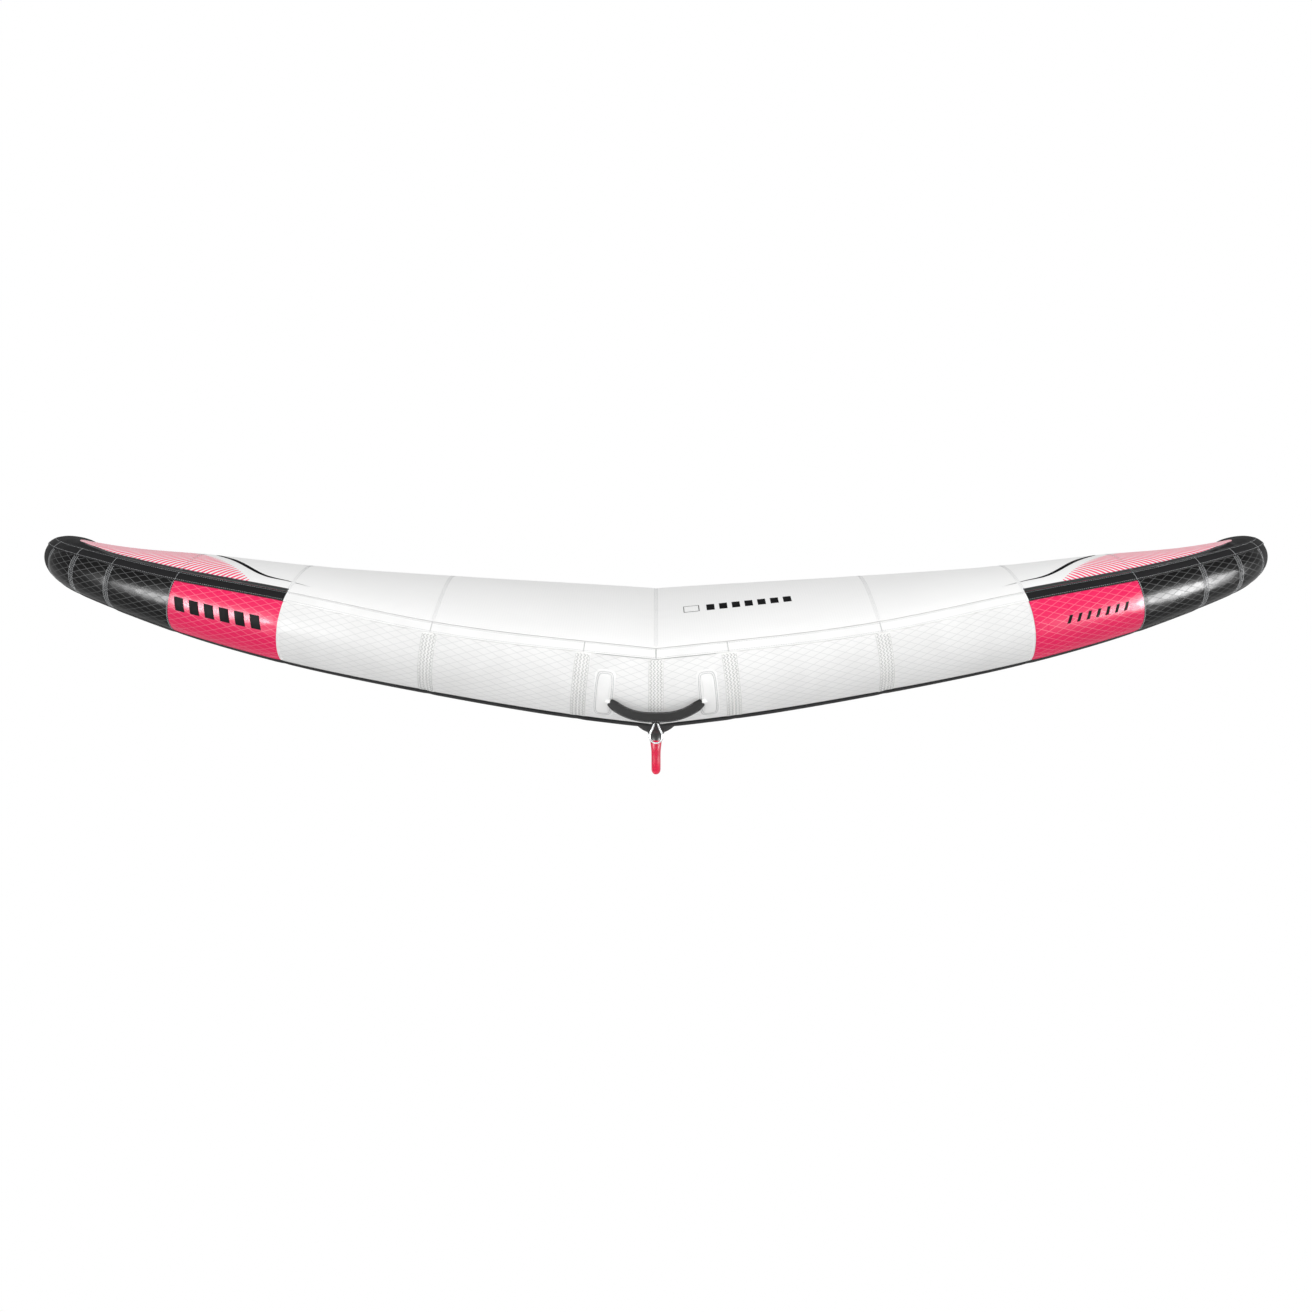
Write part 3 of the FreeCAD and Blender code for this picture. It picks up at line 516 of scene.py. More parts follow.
def grip_rubber(name, base):
    """Soft grip: fine grain with small hexagonal dimples."""
    n = Nodes(name, "pink_grip", base, 0.48, Specular_IOR_Level=0.2, Subsurface_Weight=0.05,
              Subsurface_Scale=0.004)
    cells = n.add("ShaderNodeTexVoronoi", feature="SMOOTH_F1")
    cells.inputs["Scale"].default_value = 420.0
    n.link(n.place(), cells.inputs["Vector"])
    cloud = n.noise(24.0)
    colour = n.mix(n.ramp(cloud, 0.3, 0.75), base, tuple(c * 0.9 for c in base))
    normal = n.bump(cells.outputs["Distance"], 0.0002, 0.5)
    return n.finish(colour, n.ramp(cloud, 0.3, 0.7, 0.42, 0.55), normal)


def steel(name):
    n = Nodes(name, "steel", (0.72, 0.73, 0.74), 0.22, Metallic=1.0)
    cloud = n.noise(120.0, 5.0)
    colour = n.mix(n.ramp(cloud, 0.3, 0.7), (0.74, 0.75, 0.76), (0.6, 0.61, 0.62))
    return n.finish(colour, n.ramp(cloud, 0.3, 0.7, 0.16, 0.3), n.bump(cloud, 0.00003, 0.4))


def hose_plastic(name):
    n = Nodes(name, "hose", (0.62, 0.66, 0.68), 0.25, Transmission_Weight=0.25, IOR=1.46)
    cloud = n.noise(40.0)
    colour = n.mix(n.ramp(cloud, 0.3, 0.7), (0.66, 0.7, 0.72), (0.5, 0.54, 0.56))
    return n.finish(colour, n.ramp(cloud, 0.3, 0.7, 0.2, 0.34), n.bump(cloud, 0.0001, 0.3))


WHITE, PINK, BLACK = (0.865, 0.865, 0.86), (0.88, 0.017, 0.115), (0.001, 0.001, 0.0012)
MATERIALS = {
    "white_ripstop": ripstop("white_ripstop", "white_ripstop", WHITE, (0.56, 0.57, 0.57), 0.45, 0.55, 0.08),
    "pink_ripstop": ripstop("pink_ripstop", "pink_ripstop", PINK, (0.97, 0.26, 0.38), 0.29, 0.55, 0.13),
    "black_ripstop": ripstop("black_ripstop", "black_ripstop", BLACK, (0.14, 0.143, 0.145), 0.29, 0.7, 0.11),
    "black_tape": tape_cloth("black_tape", "black_tape", (0.006, 0.006, 0.007), 0.62,
                             Specular_IOR_Level=0.1),
    "white_tape": tape_cloth("white_tape", "white_tape", (0.90, 0.90, 0.895), 0.5, Specular_IOR_Level=0.35),
    "canopy_cloth": canopy_cloth("canopy_cloth", (0.90, 0.90, 0.895), True),
    "web_cloth": canopy_cloth("web_cloth", (0.86, 0.86, 0.86), False),
    "bladder_film": moulded("bladder_film", "bladder_film", (0.75, 0.8, 0.82), 0.3, 60.0, 0.0002),
    "ring_cloth": tape_cloth("ring_cloth", "white_tape", (0.90, 0.90, 0.89), 0.6, Specular_IOR_Level=0.25),
    "pink_grip": grip_rubber("pink_grip", (1.0, 0.010, 0.080)),
    "black_plastic": moulded("black_plastic", "black_plastic", (0.012, 0.012, 0.013), 0.45, 700.0, 0.00008),
    "steel": steel("steel"),
    "black_webbing": tape_cloth("black_webbing", "black_webbing", (0.009, 0.009, 0.009), 0.7,
                                Specular_IOR_Level=0.2),
    "hose": hose_plastic("hose"),
    "white_thread": moulded("white_thread", "white_tape", (0.92, 0.92, 0.92), 0.5, 900.0, 0.00005),
    "grey_thread": moulded("grey_thread", "white_tape", (0.36, 0.37, 0.38), 0.55, 900.0, 0.00005),
    # Mid grey thread of the ring tapes: the edge dashes are really grey, while on the zigzags the grey is
    # painted shade among white stitches.
    "ring_stitch_and_painted_shade_thread": moulded("ring_stitch_and_painted_shade_thread", "white_tape", (0.50, 0.505, 0.50), 0.55, 900.0, 0.00005),
    # Dark thread for the joint stitching, also used for the painted shadow line under the white band's lower
    # edge.
    "dark_joint_and_painted_shadow_thread": moulded("dark_joint_and_painted_shadow_thread", "white_tape", (0.16, 0.165, 0.17), 0.55, 900.0, 0.00005),
    "pale_thread": moulded("pale_thread", "black_tape", (0.36, 0.37, 0.38), 0.55, 900.0, 0.00005),
    "black_print": moulded("black_print", "black_tape", (0.004, 0.004, 0.005), 0.55, 300.0, 0.00005,
                            Specular_IOR_Level=0.02),
}


def dress_cad_nodes():
    """Procedural materials for the CAD nodes that stay."""
    slots = {part["node"]: part["material_slot"] for part in frame["record"]["subparts"]}
    for name, obj in frame["nodes"].items():
        obj.data.materials.clear()
        obj.data.materials.append(MATERIALS[slots[name]])


# ---------------------------------------------------------------- leading edge

RING_LINES = SEAMS[:6] + (TIP_RING,) + SEAMS[6:]
ring_wave = waves(11, 14, 3.0, 24.0)
band_wave = waves(12, 12, 0.02, 0.09)


def tube_lift(s, angle):
    """Small pinches and puckers of the inflated cloth next to its seams."""
    far = np.abs(s)
    a = np.radians(angle)
    lift = np.zeros(np.broadcast(s, angle).shape)
    for k, seam in enumerate(RING_LINES):
        away = far - seam
        lift -= 0.8 * np.exp(-(away / 9.0) ** 2)
        lift += 0.45 * np.exp(-(np.abs(away) - 20) ** 2 / 700) * ring_wave(a + k) * np.sign(away + 0.1)
    lower_edge = ROOT_ANGLE(far) - BAND_GAP - np.degrees(BAND_WIDTH / TUBE_R(far))
    under = (angle - lower_edge) * TUBE_R(far) * math.pi / 180
    near_band = np.exp(-((under + 8) / 16) ** 2) * (under < 4)
    lift += 0.35 * near_band * band_wave(far)
    under_cloth = angle > ROOT_ANGLE(far) - 8
    return np.where(under_cloth, np.minimum(lift, 0.0) - 0.2, lift)


def over_tube(extra, sign=1):
    """place(s, angle, lift) for what lies extra mm above the puckered tube."""
    return lambda s, angle, lift: on_tube(sign * s, angle, lift + extra + tube_lift(s, angle))


def tube_surface(name, stops, material, columns, flip=False):
    angles = np.linspace(-180, 180, columns + 1)
    s, angle = np.meshgrid(stops, angles[:-1], indexing="ij")
    points = on_tube(s, angle, tube_lift(s, angle))
    full_s, full_a = np.meshgrid(stops, angles, indexing="ij")
    uv = np.stack([full_s, np.radians(full_a) * TUBE_R(np.abs(full_s))], -1)
    return surface(name, points, uv, material, wrap=True, flip=flip)


def build_tubes():
    """Cloth of the leading edge tube, one piece for each colour."""
    white = tube_surface("le_white_casing", np.arange(-SEAMS[3], SEAMS[3] + 1, 3.5), "white_ripstop", 220)
    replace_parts(white, *[f"le_casing_{part}_{side}" for part in ("nose", "inner", "mid") for side in "lr"])
    for side, sign in SIDES:
        stops = sign * np.linspace(SEAMS[3], SEAMS[4], 100)
        pink = tube_surface("le_pink_panel_" + side, stops, "pink_ripstop", 180, flip=sign < 0)
        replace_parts(pink, "le_panel_pink_" + side)
        stops = sign * np.linspace(SEAMS[4], SEAMS[6], 130)
        black = tube_surface("le_black_casing_" + side, stops, "black_ripstop", 180, flip=sign < 0)
        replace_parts(black, "le_casing_outer_" + side, "le_casing_tip_" + side)
        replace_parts(tip_cap(side, sign), "le_tip_cap_" + side)


def tip_cap(side, sign):
    """Plain black end of the tube with its dome."""
    stops = np.linspace(SEAMS[6], TIP, 90)
    angles = np.linspace(-180, 180, 97)
    s, angle = np.meshgrid(stops, angles[:-1], indexing="ij")
    rows = list(on_tube(s, angle, tube_lift(s, angle)))
    run, ahead, up = tube_frame(np.array(TIP))
    size = TUBE_R(TIP)
    gone = list(stops)
    for turn in (12, 24, 36, 48, 60, 72, 84):
        t, a = math.radians(turn), np.radians(angles[:-1])[:, None]
        ring = size * math.cos(t) * (np.cos(a) * ahead + np.sin(a) * up)
        rows.append(tube_axis(np.array(TIP)) + run * size * 0.98 * math.sin(t) + ring)
        gone.append(TIP + size * t)
    points = np.stack(rows)
    points[..., 0] *= sign
    full_s, full_a = np.meshgrid(gone, angles, indexing="ij")
    uv = np.stack([full_s, np.radians(full_a) * size], -1)
    return surface("le_tip_cap_cloth_" + side, points, uv, "black_tape", wrap=True, flip=sign < 0)


def build_ring_bands():
    """White tapes over the ring seams, with rows of zigzag stitching; the zigzags are mid grey, so the shade
    among the white stitches is painted into the thread colour.
    """
    bands = {"center": 0, "r1": SEAMS[1], "r2": SEAMS[2], "l1": -SEAMS[1], "l2": -SEAMS[2]}
    for label, centre in bands.items():
        def place(angle, across, lift, centre=centre):
            return over_tube(0)(centre + (across - 0.5) * RING_BAND, angle, lift)
        band = strip("ring_band_" + label, place, np.linspace(-180, 180, 181), (-0.2, 0.75, RING_BAND),
                     "ring_cloth", flip=True, slot="white_tape")
        if not label.endswith("2"):
            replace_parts(band, "ring_tape_" + label.rstrip("1"))
    groups = []
    for centre in bands.values():
        for ends in ((SCUFF[1] + 1, ROOT_ANGLE(abs(centre)) - 15), (-178, SCUFF[0] - 1)):
            angles = np.linspace(*ends, 400)
            for offset in (-12.0, -4.2, 4.2, 12.0):
                line = (np.full(400, centre + offset), angles)
                # These zigzag threads are mid grey: painted shade of the white herringbone stitching.
                groups.append(zigzag(over_tube(0.8), line, (6.4, 0), 9.5))
            for offset in (-17.0, 17.0):
                groups.append(dashes(over_tube(0.7), (np.full(400, centre + offset), angles), 4.0))
    threads("ring_band_zigzag", groups, "ring_stitch_and_painted_shade_thread", 0.8)


def build_dark_ring_stitches():
    """Stitching at the colour changes and over the black ring seams."""
    white, pale = [], []
    for sign in (1, -1):
        for seam, offsets, rows in ((SEAMS[3], (-7, -2.5), white), (SEAMS[4], (2.5,), pale),
                                    (SEAMS[5], (-6, 0, 6), pale), (TIP_RING, (-6, 0, 6), pale),
                                    (SEAMS[6], (-3.5, 3.5), pale)):
            angles = np.linspace(SCUFF[1] + 1, ROOT_ANGLE(seam) - 18, 240)
            for offset in offsets:
                line = (np.full(240, float(seam + offset)), angles)
                rows.append(zigzag(over_tube(0.1, sign), line, (4.0, 0), 6.0))
    threads("colour_seam_zigzag", white, "white_thread", 0.5)
    threads("black_seam_zigzag", pale, "pale_thread", 0.5)


def band_place(sign):
    """Seam band along the canopy root; across 0 is its lower edge."""
    def place(s, across, lift):
        top = ROOT_ANGLE(s) - BAND_GAP + 0.35
        wide = np.degrees(BAND_WIDTH / TUBE_R(s)) + 0.35
        ripple = 0.25 * band_wave(s * 1.7) * np.clip(1 - across, 0, 1)
        return on_tube(sign * s, top - wide * (1 - across), lift + ripple)
    return place


def build_seam_bands():
    """White and black tape along the canopy root, with its stitching and joints, and a dark thread line
    painted as the shadow under the lower edge of the white band near the centre.
    """
    grey, pale, dark = [], [], []
    for side, sign in SIDES:
        place = band_place(sign)
        over = lambda s, across, lift, place=place: place(s, across, lift + 2.45)
        halves = (("white", 0, SEAMS[3], grey, dark), ("black", SEAMS[3], BAND_END, pale, pale))
        for colour, start, stop, rows, joints in halves:
            stops = np.arange(start, stop + 1, 5.0)
            stops[-1] = stop
            band = strip(f"seam_band_{colour}_{side}_cloth", place, stops, (0.0, 2.5, BAND_WIDTH),
                         colour + "_tape", flip=sign < 0)
            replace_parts(band, f"seam_band_{colour}_{side}")
            for across in (0.13, 0.86):
                line = (np.linspace(start + 3, stop - 3, 900), np.full(900, across))
                rows.append(dashes(over, line, 6.0, 0.66))
            for joint in [s for s in RING_LINES if start < s < stop or s == start == 0]:
                line = (np.full(30, joint + 0.01), np.linspace(0.03, 0.97, 30))
                joints.append(zigzag(over, line, (2.2, 0), 4.5))
        # Painted shadow: a near-continuous dark thread along the lower edge of the white band, 150 mm out
        # from the centre, stands in for the shade under that edge.
        lower_edge = (np.linspace(0.5, 150, 60), np.full(60, -0.01))
        dark.append(dashes(lambda s, across, lift: place(s, across, lift + 1.3), lower_edge, 5, 0.98))
    # The dark joint stitches and the painted shadow line under the band share this one dark thread object.
    threads("band_joints_and_painted_shadow_white", dark, "dark_joint_and_painted_shadow_thread", 0.42)
    threads("band_stitching_white", grey, "grey_thread", 0.42)
    threads("band_stitching_black", pale, "pale_thread", 0.42, "black_tape")


def build_scuff_strips():
    """Black strips along the underside of the tube."""
    stops = np.arange(0, TIP - 20, 6.0)
    wide = math.radians(SCUFF[1] - SCUFF[0]) * STATIONS[0, 3]
    for side, sign in SIDES:
        def place(s, across, lift, sign=sign):
            return over_tube(0, sign)(s, SCUFF[0] + (SCUFF[1] - SCUFF[0]) * across, lift)
        band = strip("scuff_strip_cloth_" + side, place, stops, (0.0, 2.0, wide), "black_tape",
                     flip=sign < 0)
        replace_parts(band, "scuff_strip_" + side)


# ---------------------------------------------------------------- canopy

CHORD = np.concatenate([np.linspace(0, 0.12, 34)[:-1], np.linspace(0.12, 0.5, 50)[:-1],
                        np.linspace(0.5, 1, 62)])
root_wave = waves(21, 16, 0.03, 0.12)
tail_wave = waves(22, 12, 0.010, 0.035)
seam_wave = waves(23, 14, 0.05, 0.22)
span_wave = waves(24, 8, 0.004, 0.012)


def canopy_lift(s, c):
    """Gathers behind the root seam, puckers along the panel seams, and a soft flutter aft."""
    far = np.abs(s)
    root, tail = canopy_middle(far, np.zeros_like(far)), canopy_middle(far, np.ones_like(far))
    chord = np.linalg.norm(tail - root, axis=-1)
    back = c * chord
    calm = np.clip((CANOPY_END - far) / 400, 0.15, 1)
    lift = 0.6 * np.exp(-((back - 60) / 45) ** 2) * np.maximum(0.9 + root_wave(far), 0) * calm
    for k, seam in enumerate((0, SEAMS[2], SEAMS[3], SEAMS[4])):
        away = far - seam
        clear = np.clip((back - 130) / 150, 0, 1)
        lift -= 0.9 * np.exp(-(away / 7.0) ** 2) * clear
        lift += 0.6 * np.exp(-(np.abs(away) - 18) ** 2 / 500) * seam_wave(back + 90 * k) * clear
    lift += 3.0 * np.clip((c - 0.72) / 0.28, 0, 1) ** 2 * tail_wave(far) * calm
    lift += 1.2 * np.sin(math.pi * c) * span_wave(far + 0.3 * back) * calm
    return lift


def canopy_place(s, c, lift):
    """Point lift mm above the gathered canopy."""
    return on_canopy(s, c, lift + canopy_lift(s, c))


def build_canopy():
    """Canopy cloth from tip to tip."""
    stops = np.concatenate([-np.arange(7, CANOPY_END, 7)[::-1], np.arange(0, CANOPY_END, 7)])
    stops[0], stops[-1] = -CANOPY_END, CANOPY_END
    s, c = np.meshgrid(stops, CHORD, indexing="ij")
    points = canopy_place(s, c, np.zeros_like(s))
    back = np.linalg.norm(np.diff(points, axis=1), axis=-1)
    back = np.concatenate([np.zeros((len(stops), 1)), np.cumsum(back, axis=1)], axis=1)
    uv = np.stack([s, back], -1)
    cloth = surface("canopy_cloth", points, uv, "canopy_cloth", thick=0.8)
    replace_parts(cloth, *[f"canopy_{part}_{side}" for part in ("center", "inner", "outer", "tip")
                         for side in "lr"])


def build_canopy_seams():
    """Flat-felled panel seams with two rows of stitching, on top and underneath, and a grey line along the
    middle of each top seam painted as the shade in its fold.
    """
    groups, fold_shade_lines = [], []
    shares = np.linspace(0, 1, 400)
    for k, seam in enumerate((0, SEAMS[2], SEAMS[3], SEAMS[4], -SEAMS[2], -SEAMS[3], -SEAMS[4])):
        gone = run_length(canopy_middle(np.full(400, abs(float(seam))), shares))

        def place(c, across, lift, seam=seam):
            return canopy_place(seam + (across - 0.5) * PANEL_SEAM, c, lift)

        def cloth(c, across, seam=seam, gone=gone):
            return np.stack([seam + (across - 0.5) * PANEL_SEAM, np.interp(c, shares, gone)], -1)

        for label, low, high, flip in (("top", 0.2, 0.85, True), ("under", -0.2, -0.85, False)):
            strip(f"panel_seam_{label}_{k + 1}", place, np.linspace(0.002, 0.985, 160),
                  (low, high, PANEL_SEAM), "canopy_cloth", flip=flip, cloth=cloth)
        for across in (0.2, 0.8):
            line = (np.linspace(0.01, 0.98, 700), np.full(700, across))
            groups.append(dashes(lambda c, v, lift: place(c, v, lift + 0.85), line, 5.5))
        # Painted shade: a near-continuous grey thread along the middle of the seam stands in for the shadow
        # in its fold.
        line = (np.linspace(0.004, 0.98, 500), np.full(500, 0.5))
        fold_shade_lines.append(dashes(lambda c, v, lift: place(c, v, lift + 0.7), line, 9.0, 0.99))
    threads("panel_seam_stitching", groups, "grey_thread", 0.3)
    threads("panel_seam_fold_painted_shade", fold_shade_lines, "grey_thread", 0.3)


def build_tip_patches():
    """Black cloth over the canopy where it ends on the tip of the tube."""
    share, c = np.meshgrid(np.linspace(0, 1, 50), np.linspace(0, 1, 60), indexing="ij")
    start = TIP_PATCH + 65 - 210 * np.exp(-c / 0.09) - 90 * c
    s = start + (CANOPY_END + 0.5 - start) * share
    uv = np.stack([s, c * 300], -1)
    for side, sign in SIDES:
        for label, lift, flip in (("top", 0.75, sign < 0), ("under", -0.75, sign > 0)):
            points = canopy_place(sign * s, c, np.full_like(s, lift))
            surface(f"tip_patch_{label}_{side}", points, uv, "black_tape", flip=flip)


def build_trailing_edge():
    """Tape folded over the trailing edge, and its stitching."""
    groups = []
    top = [(0.984, 0.55), (0.9845, 0.95), (0.992, 1.0), (0.9995, 0.95), (1.0012, 0.5)]
    profile = top + [(1.0016, 0.0)] + [(c, -lift) for c, lift in reversed(top)]
    stops = np.arange(0, CANOPY_END, 8.0)
    stops[-1] = CANOPY_END
    for side, sign in SIDES:
        rows = []
        for c, lift in profile:
            edge = canopy_place(stops, np.full_like(stops, min(c, 1.0)), np.full_like(stops, lift))
            inner = canopy_place(stops, np.full_like(stops, 0.99), np.full_like(stops, lift))
            rows.append(edge + (edge - inner) * (max(c - 1.0, 0) / 0.01))
        points = np.stack(rows, 1)
        points[..., 0] *= sign
        uv = np.stack(np.meshgrid(stops, np.linspace(0, 50, len(profile)), indexing="ij"), -1)
        tape = surface("trailing_tape_" + side, points, uv, "white_tape", flip=sign > 0)
        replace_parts(tape, "te_tape_" + side)
        for face in (1.0, -1.0):
            line = (np.linspace(4, CANOPY_END - 4, 1200), np.full(1200, 0.9885))
            place = lambda s, c, lift: canopy_place(sign * s, c, face * (1 + lift))
            groups.append(dashes(place, line, 7.0))
    threads("trailing_stitching", groups, "grey_thread", 0.4)


def build_battens():
    """Pockets under the trailing edge with the bulge of the batten and stitched sides."""
    groups = []
    for side, sign in SIDES:
        for k, centre in enumerate(POCKETS):
            def place(c, across, lift, sign=sign, centre=centre):
                return canopy_place(sign * (centre + (across - 0.5) * POCKET_WIDTH), c, lift)

            def pocket(c, across, lift, place=place):
                return place(c, across, lift - 1.3 * np.exp(-((across - 0.5) / 0.2) ** 2))

            band = strip(f"batten_pocket_{side}{k + 1}", pocket, np.linspace(0.80, 0.983, 60),
                         (-0.3, -0.8, POCKET_WIDTH), "white_tape", flip=sign < 0, slot="canopy_cloth")
            if k == 0:
                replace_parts(band, "batten_pockets_" + side)
            for across in (0.08, 0.92):
                line = (np.linspace(0.802, 0.98, 200), np.full(200, across))
                groups.append(dashes(lambda c, v, lift: place(c, v, -0.85 - lift), line, 6.0))
                groups.append(dashes(lambda c, v, lift: place(c, v, 0.42 + lift), line, 6.0))
    threads("batten_stitching", groups, "grey_thread", 0.4)


@np.vectorize
def chord_share(s, back):
    """Chord share at a distance of back mm behind the canopy root."""
    shares = np.linspace(0, 1, 400)
    return np.interp(back, run_length(canopy_middle(np.full_like(shares, s), shares)), shares)


def build_prints():
    """Black swoosh line on the canopy, and plain bars on the panels."""
    path = ((872, 34), (930, 43), (975, 46), (1017, 58), (1067, 96), (1121, 152), (1166, 200), (1192, 262),
            (1204, 350), (1208, 460))
    last = len(path) - 1
    t = np.linspace(0, last, 150)
    s, back = [cubic(np.arange(last + 1.0), [point[k] for point in path])(t) for k in (0, 1)]
    ds, dv = np.gradient(s), np.gradient(back)
    size = np.hypot(ds, dv)
    taper = np.clip(np.minimum(t / 2.2, (last - t) / 3.0), 0.04, 1)
    width = (3.2 + 6.0 * np.clip((t - 2) / 3, 0, 1)) * taper
    uv = np.stack(np.meshgrid(back, np.arange(5.0), indexing="ij"), -1)
    for side, sign in SIDES:
        rows = []
        for off in (-1.0, -0.5, 0, 0.5, 1.0):
            ss = s - dv / size * off * width
            bb = back + ds / size * off * width
            rows.append(canopy_place(sign * ss, chord_share(ss, bb), np.full_like(ss, 0.62)))
        surface("swoosh_line_" + side, np.stack(rows, 1), uv, "black_print", flip=sign < 0,
                slot="black_tape")
    bars("pink_bars_l", -1, 966, 42, 26, 17, 6)
    bars("pink_bars_r", 1, 1010, 26, 9, 10, 7)
    canopy_bars()


def print_cells(name, cells, flip=False):
    """Black print of several equal grids; cells holds the points and print coordinates of each."""
    rows, cols = cells[0][0].shape[:2]
    row, col = grid_faces(rows, cols, flip=flip)
    faces = [(k * rows + row) * cols + col for k in range(len(cells))]
    verts = [points.reshape(-1, 3) for points, _ in cells]
    uvs = [uv[row, col] for _, uv in cells]
    mesh_object(name, *map(np.concatenate, (verts, faces, uvs)), "black_print", "black_tape")


def bars(name, sign, start, pitch, wide, half_high, count):
    """Row of slanted bars across a pink panel."""
    u, v = np.meshgrid(np.linspace(0, 1, 6), np.linspace(0, 1, 6), indexing="ij")
    cells = []
    for k in range(count):
        s = start + k * pitch + u * wide + (v - 0.5) * 10
        angle = -4 + (v - 0.5) * 2 * np.degrees(half_high / TUBE_R(s))
        cells.append((on_tube(sign * s, angle, tube_lift(s, angle) + 0.3), np.stack([s, angle], -1)))
    print_cells(name, cells, flip=sign < 0)


def canopy_bars():
    """Small frame and a row of short bars on the +X half of the canopy."""
    boxes = [(80, 122, 150, 152.5), (80, 122, 196, 198.5), (80, 82, 150, 198.5), (120, 122, 150, 198.5)]
    boxes += [(140 + 32 * k, 160 + 32 * k, 150, 196) for k in range(7)]
    cells = []
    for s0, s1, b0, b1 in boxes:
        s, back = np.meshgrid(np.linspace(s0, s1, 4), np.linspace(b0, b1, 4), indexing="ij")
        points = canopy_place(s, chord_share(s, back), np.full_like(s, 0.6))
        cells.append((points, np.stack([s, back], -1)))
    print_cells("canopy_bars", cells)


# ---------------------------------------------------------------- strut

STRUT_SEAMS = (330, 700, 1100, 1480)
strut_wave = waves(31, 12, 3.0, 20.0)


def strut_lift(y, angle):
    """Puckers along the strut seams."""
    a = np.radians(angle)
    lift = np.zeros(np.broadcast(y, angle).shape)
    for k, seam in enumerate(STRUT_SEAMS):
        away = y - seam
        lift -= 0.7 * np.exp(-(away / 8.0) ** 2)
        lift += 0.35 * np.exp(-(np.abs(away) - 18) ** 2 / 500) * strut_wave(a + 2 * k)
    return lift


def build_strut():
    """Strut casing, the cap on its tail and the stitching of its seams."""
    end = STRUT[-1, 0]
    ys = np.linspace(0, end, 420)
    angles = np.linspace(-90, 270, 145)
    y, angle = np.meshgrid(ys, angles[:-1], indexing="ij")
    points = on_strut(y, angle, strut_lift(y, angle))
    full_y, full_a = np.meshgrid(ys, angles, indexing="ij")
    uv = np.stack([full_y, np.radians(full_a) * 60], -1)
    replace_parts(surface("strut_cloth", points, uv, "white_ripstop", wrap=True), "strut_casing")
    radius, z, a = float(STRUT_R(end)), float(STRUT_Z(end)), np.radians(angles[:-1])
    cap = [on_strut(y, angles[:-1], 0.9) for y in (end - 24, end - 23.5, end - 12, end)]
    cap[0] = cap[0] * 0.998 + [0, 0, 0.04]
    for turn in np.radians(np.linspace(0, 86, 14)[1:]):
        ring, y = radius * math.cos(turn), end + 0.7 * radius * math.sin(turn)
        cap.append(np.stack([ring * np.cos(a), np.full_like(a, y), z + ring * np.sin(a)], -1))
    points = np.stack(cap)
    rows = np.linspace(0, 60, len(points))
    uv = np.stack(np.meshgrid(rows, np.radians(angles) * radius, indexing="ij"), -1)
    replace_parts(surface("strut_tail_cloth", points, uv, "black_tape", wrap=True), "strut_tail_cap")
    place = lambda y, angle, lift: on_strut(y, angle, lift + 0.1 + strut_lift(y, angle))
    groups = []
    for seam in STRUT_SEAMS:
        for offset in (-6, 0, 6):
            line = (np.full(300, float(seam + offset)), np.linspace(-88, 268, 300))
            groups.append(zigzag(place, line, (4.0, 0), 6.0))
    threads("strut_zigzag", groups, "grey_thread", 0.45)
    build_strut_collar(angles)
    build_foot_patches()


def build_strut_collar(angles):
    """Reinforced collar where the strut grows out of the leading edge tube."""
    s = np.linspace(0, 170, 120)
    axis, radius = tube_axis(s), TUBE_R(s)
    start = []
    for angle in angles:
        y = np.linspace(0, 200, 260)
        points = on_strut(y, np.full_like(y, angle), 0.5)
        points[:, 0] = np.abs(points[:, 0])
        clear = (np.linalg.norm(points[:, None] - axis[None], axis=-1) - radius[None]).min(1)
        start.append(float(y[np.argmax(clear > 0)]))

    def place(angle, across, lift):
        return on_strut(np.interp(angle, angles, start) - 2 + across * 22, angle, lift)

    strip("strut_collar", place, np.linspace(-90, 270, 181), (0.1, 1.1, 22.0), "white_tape", flip=True)
    line = (np.linspace(-89, 269, 500), np.full(500, 0.78))
    row = dashes(lambda u, v, lift: place(u, v, lift + 1.1), line, 5.5)
    threads("strut_collar_stitching", [row], "grey_thread", 0.4)


def build_foot_patches():
    """Black cloth patches on the strut under the feet of the handles."""
    groups = []
    for name, middle, half, wide in (("front_foot_patch", 350, 300, 66), ("rear_foot_patch", 985, 215, 50)):
        def place(y, across, lift, middle=middle, half=half, wide=wide):
            taper = np.sqrt(np.clip(1.0 - (np.abs(y - middle) / half) ** 6, 0.0, 1))
            angle = -90 + (across - 0.5) * 2 * wide * np.maximum(taper, 0.05)
            return on_strut(y, angle, lift + strut_lift(y, angle))
        stops = np.linspace(middle - half, middle + half, 90)
        strip(name, place, stops, (0.05, 0.6, 120.0), "black_tape", inner=41)
        for across in (0.05, 0.95):
            line = (np.linspace(middle - half * 0.97, middle + half * 0.97, 400), np.full(400, across))
            groups.append(dashes(lambda u, v, lift: place(u, v, lift + 0.6), line, 5.5))
    threads("foot_patch_stitching", groups, "pale_thread", 0.35, "black_tape")


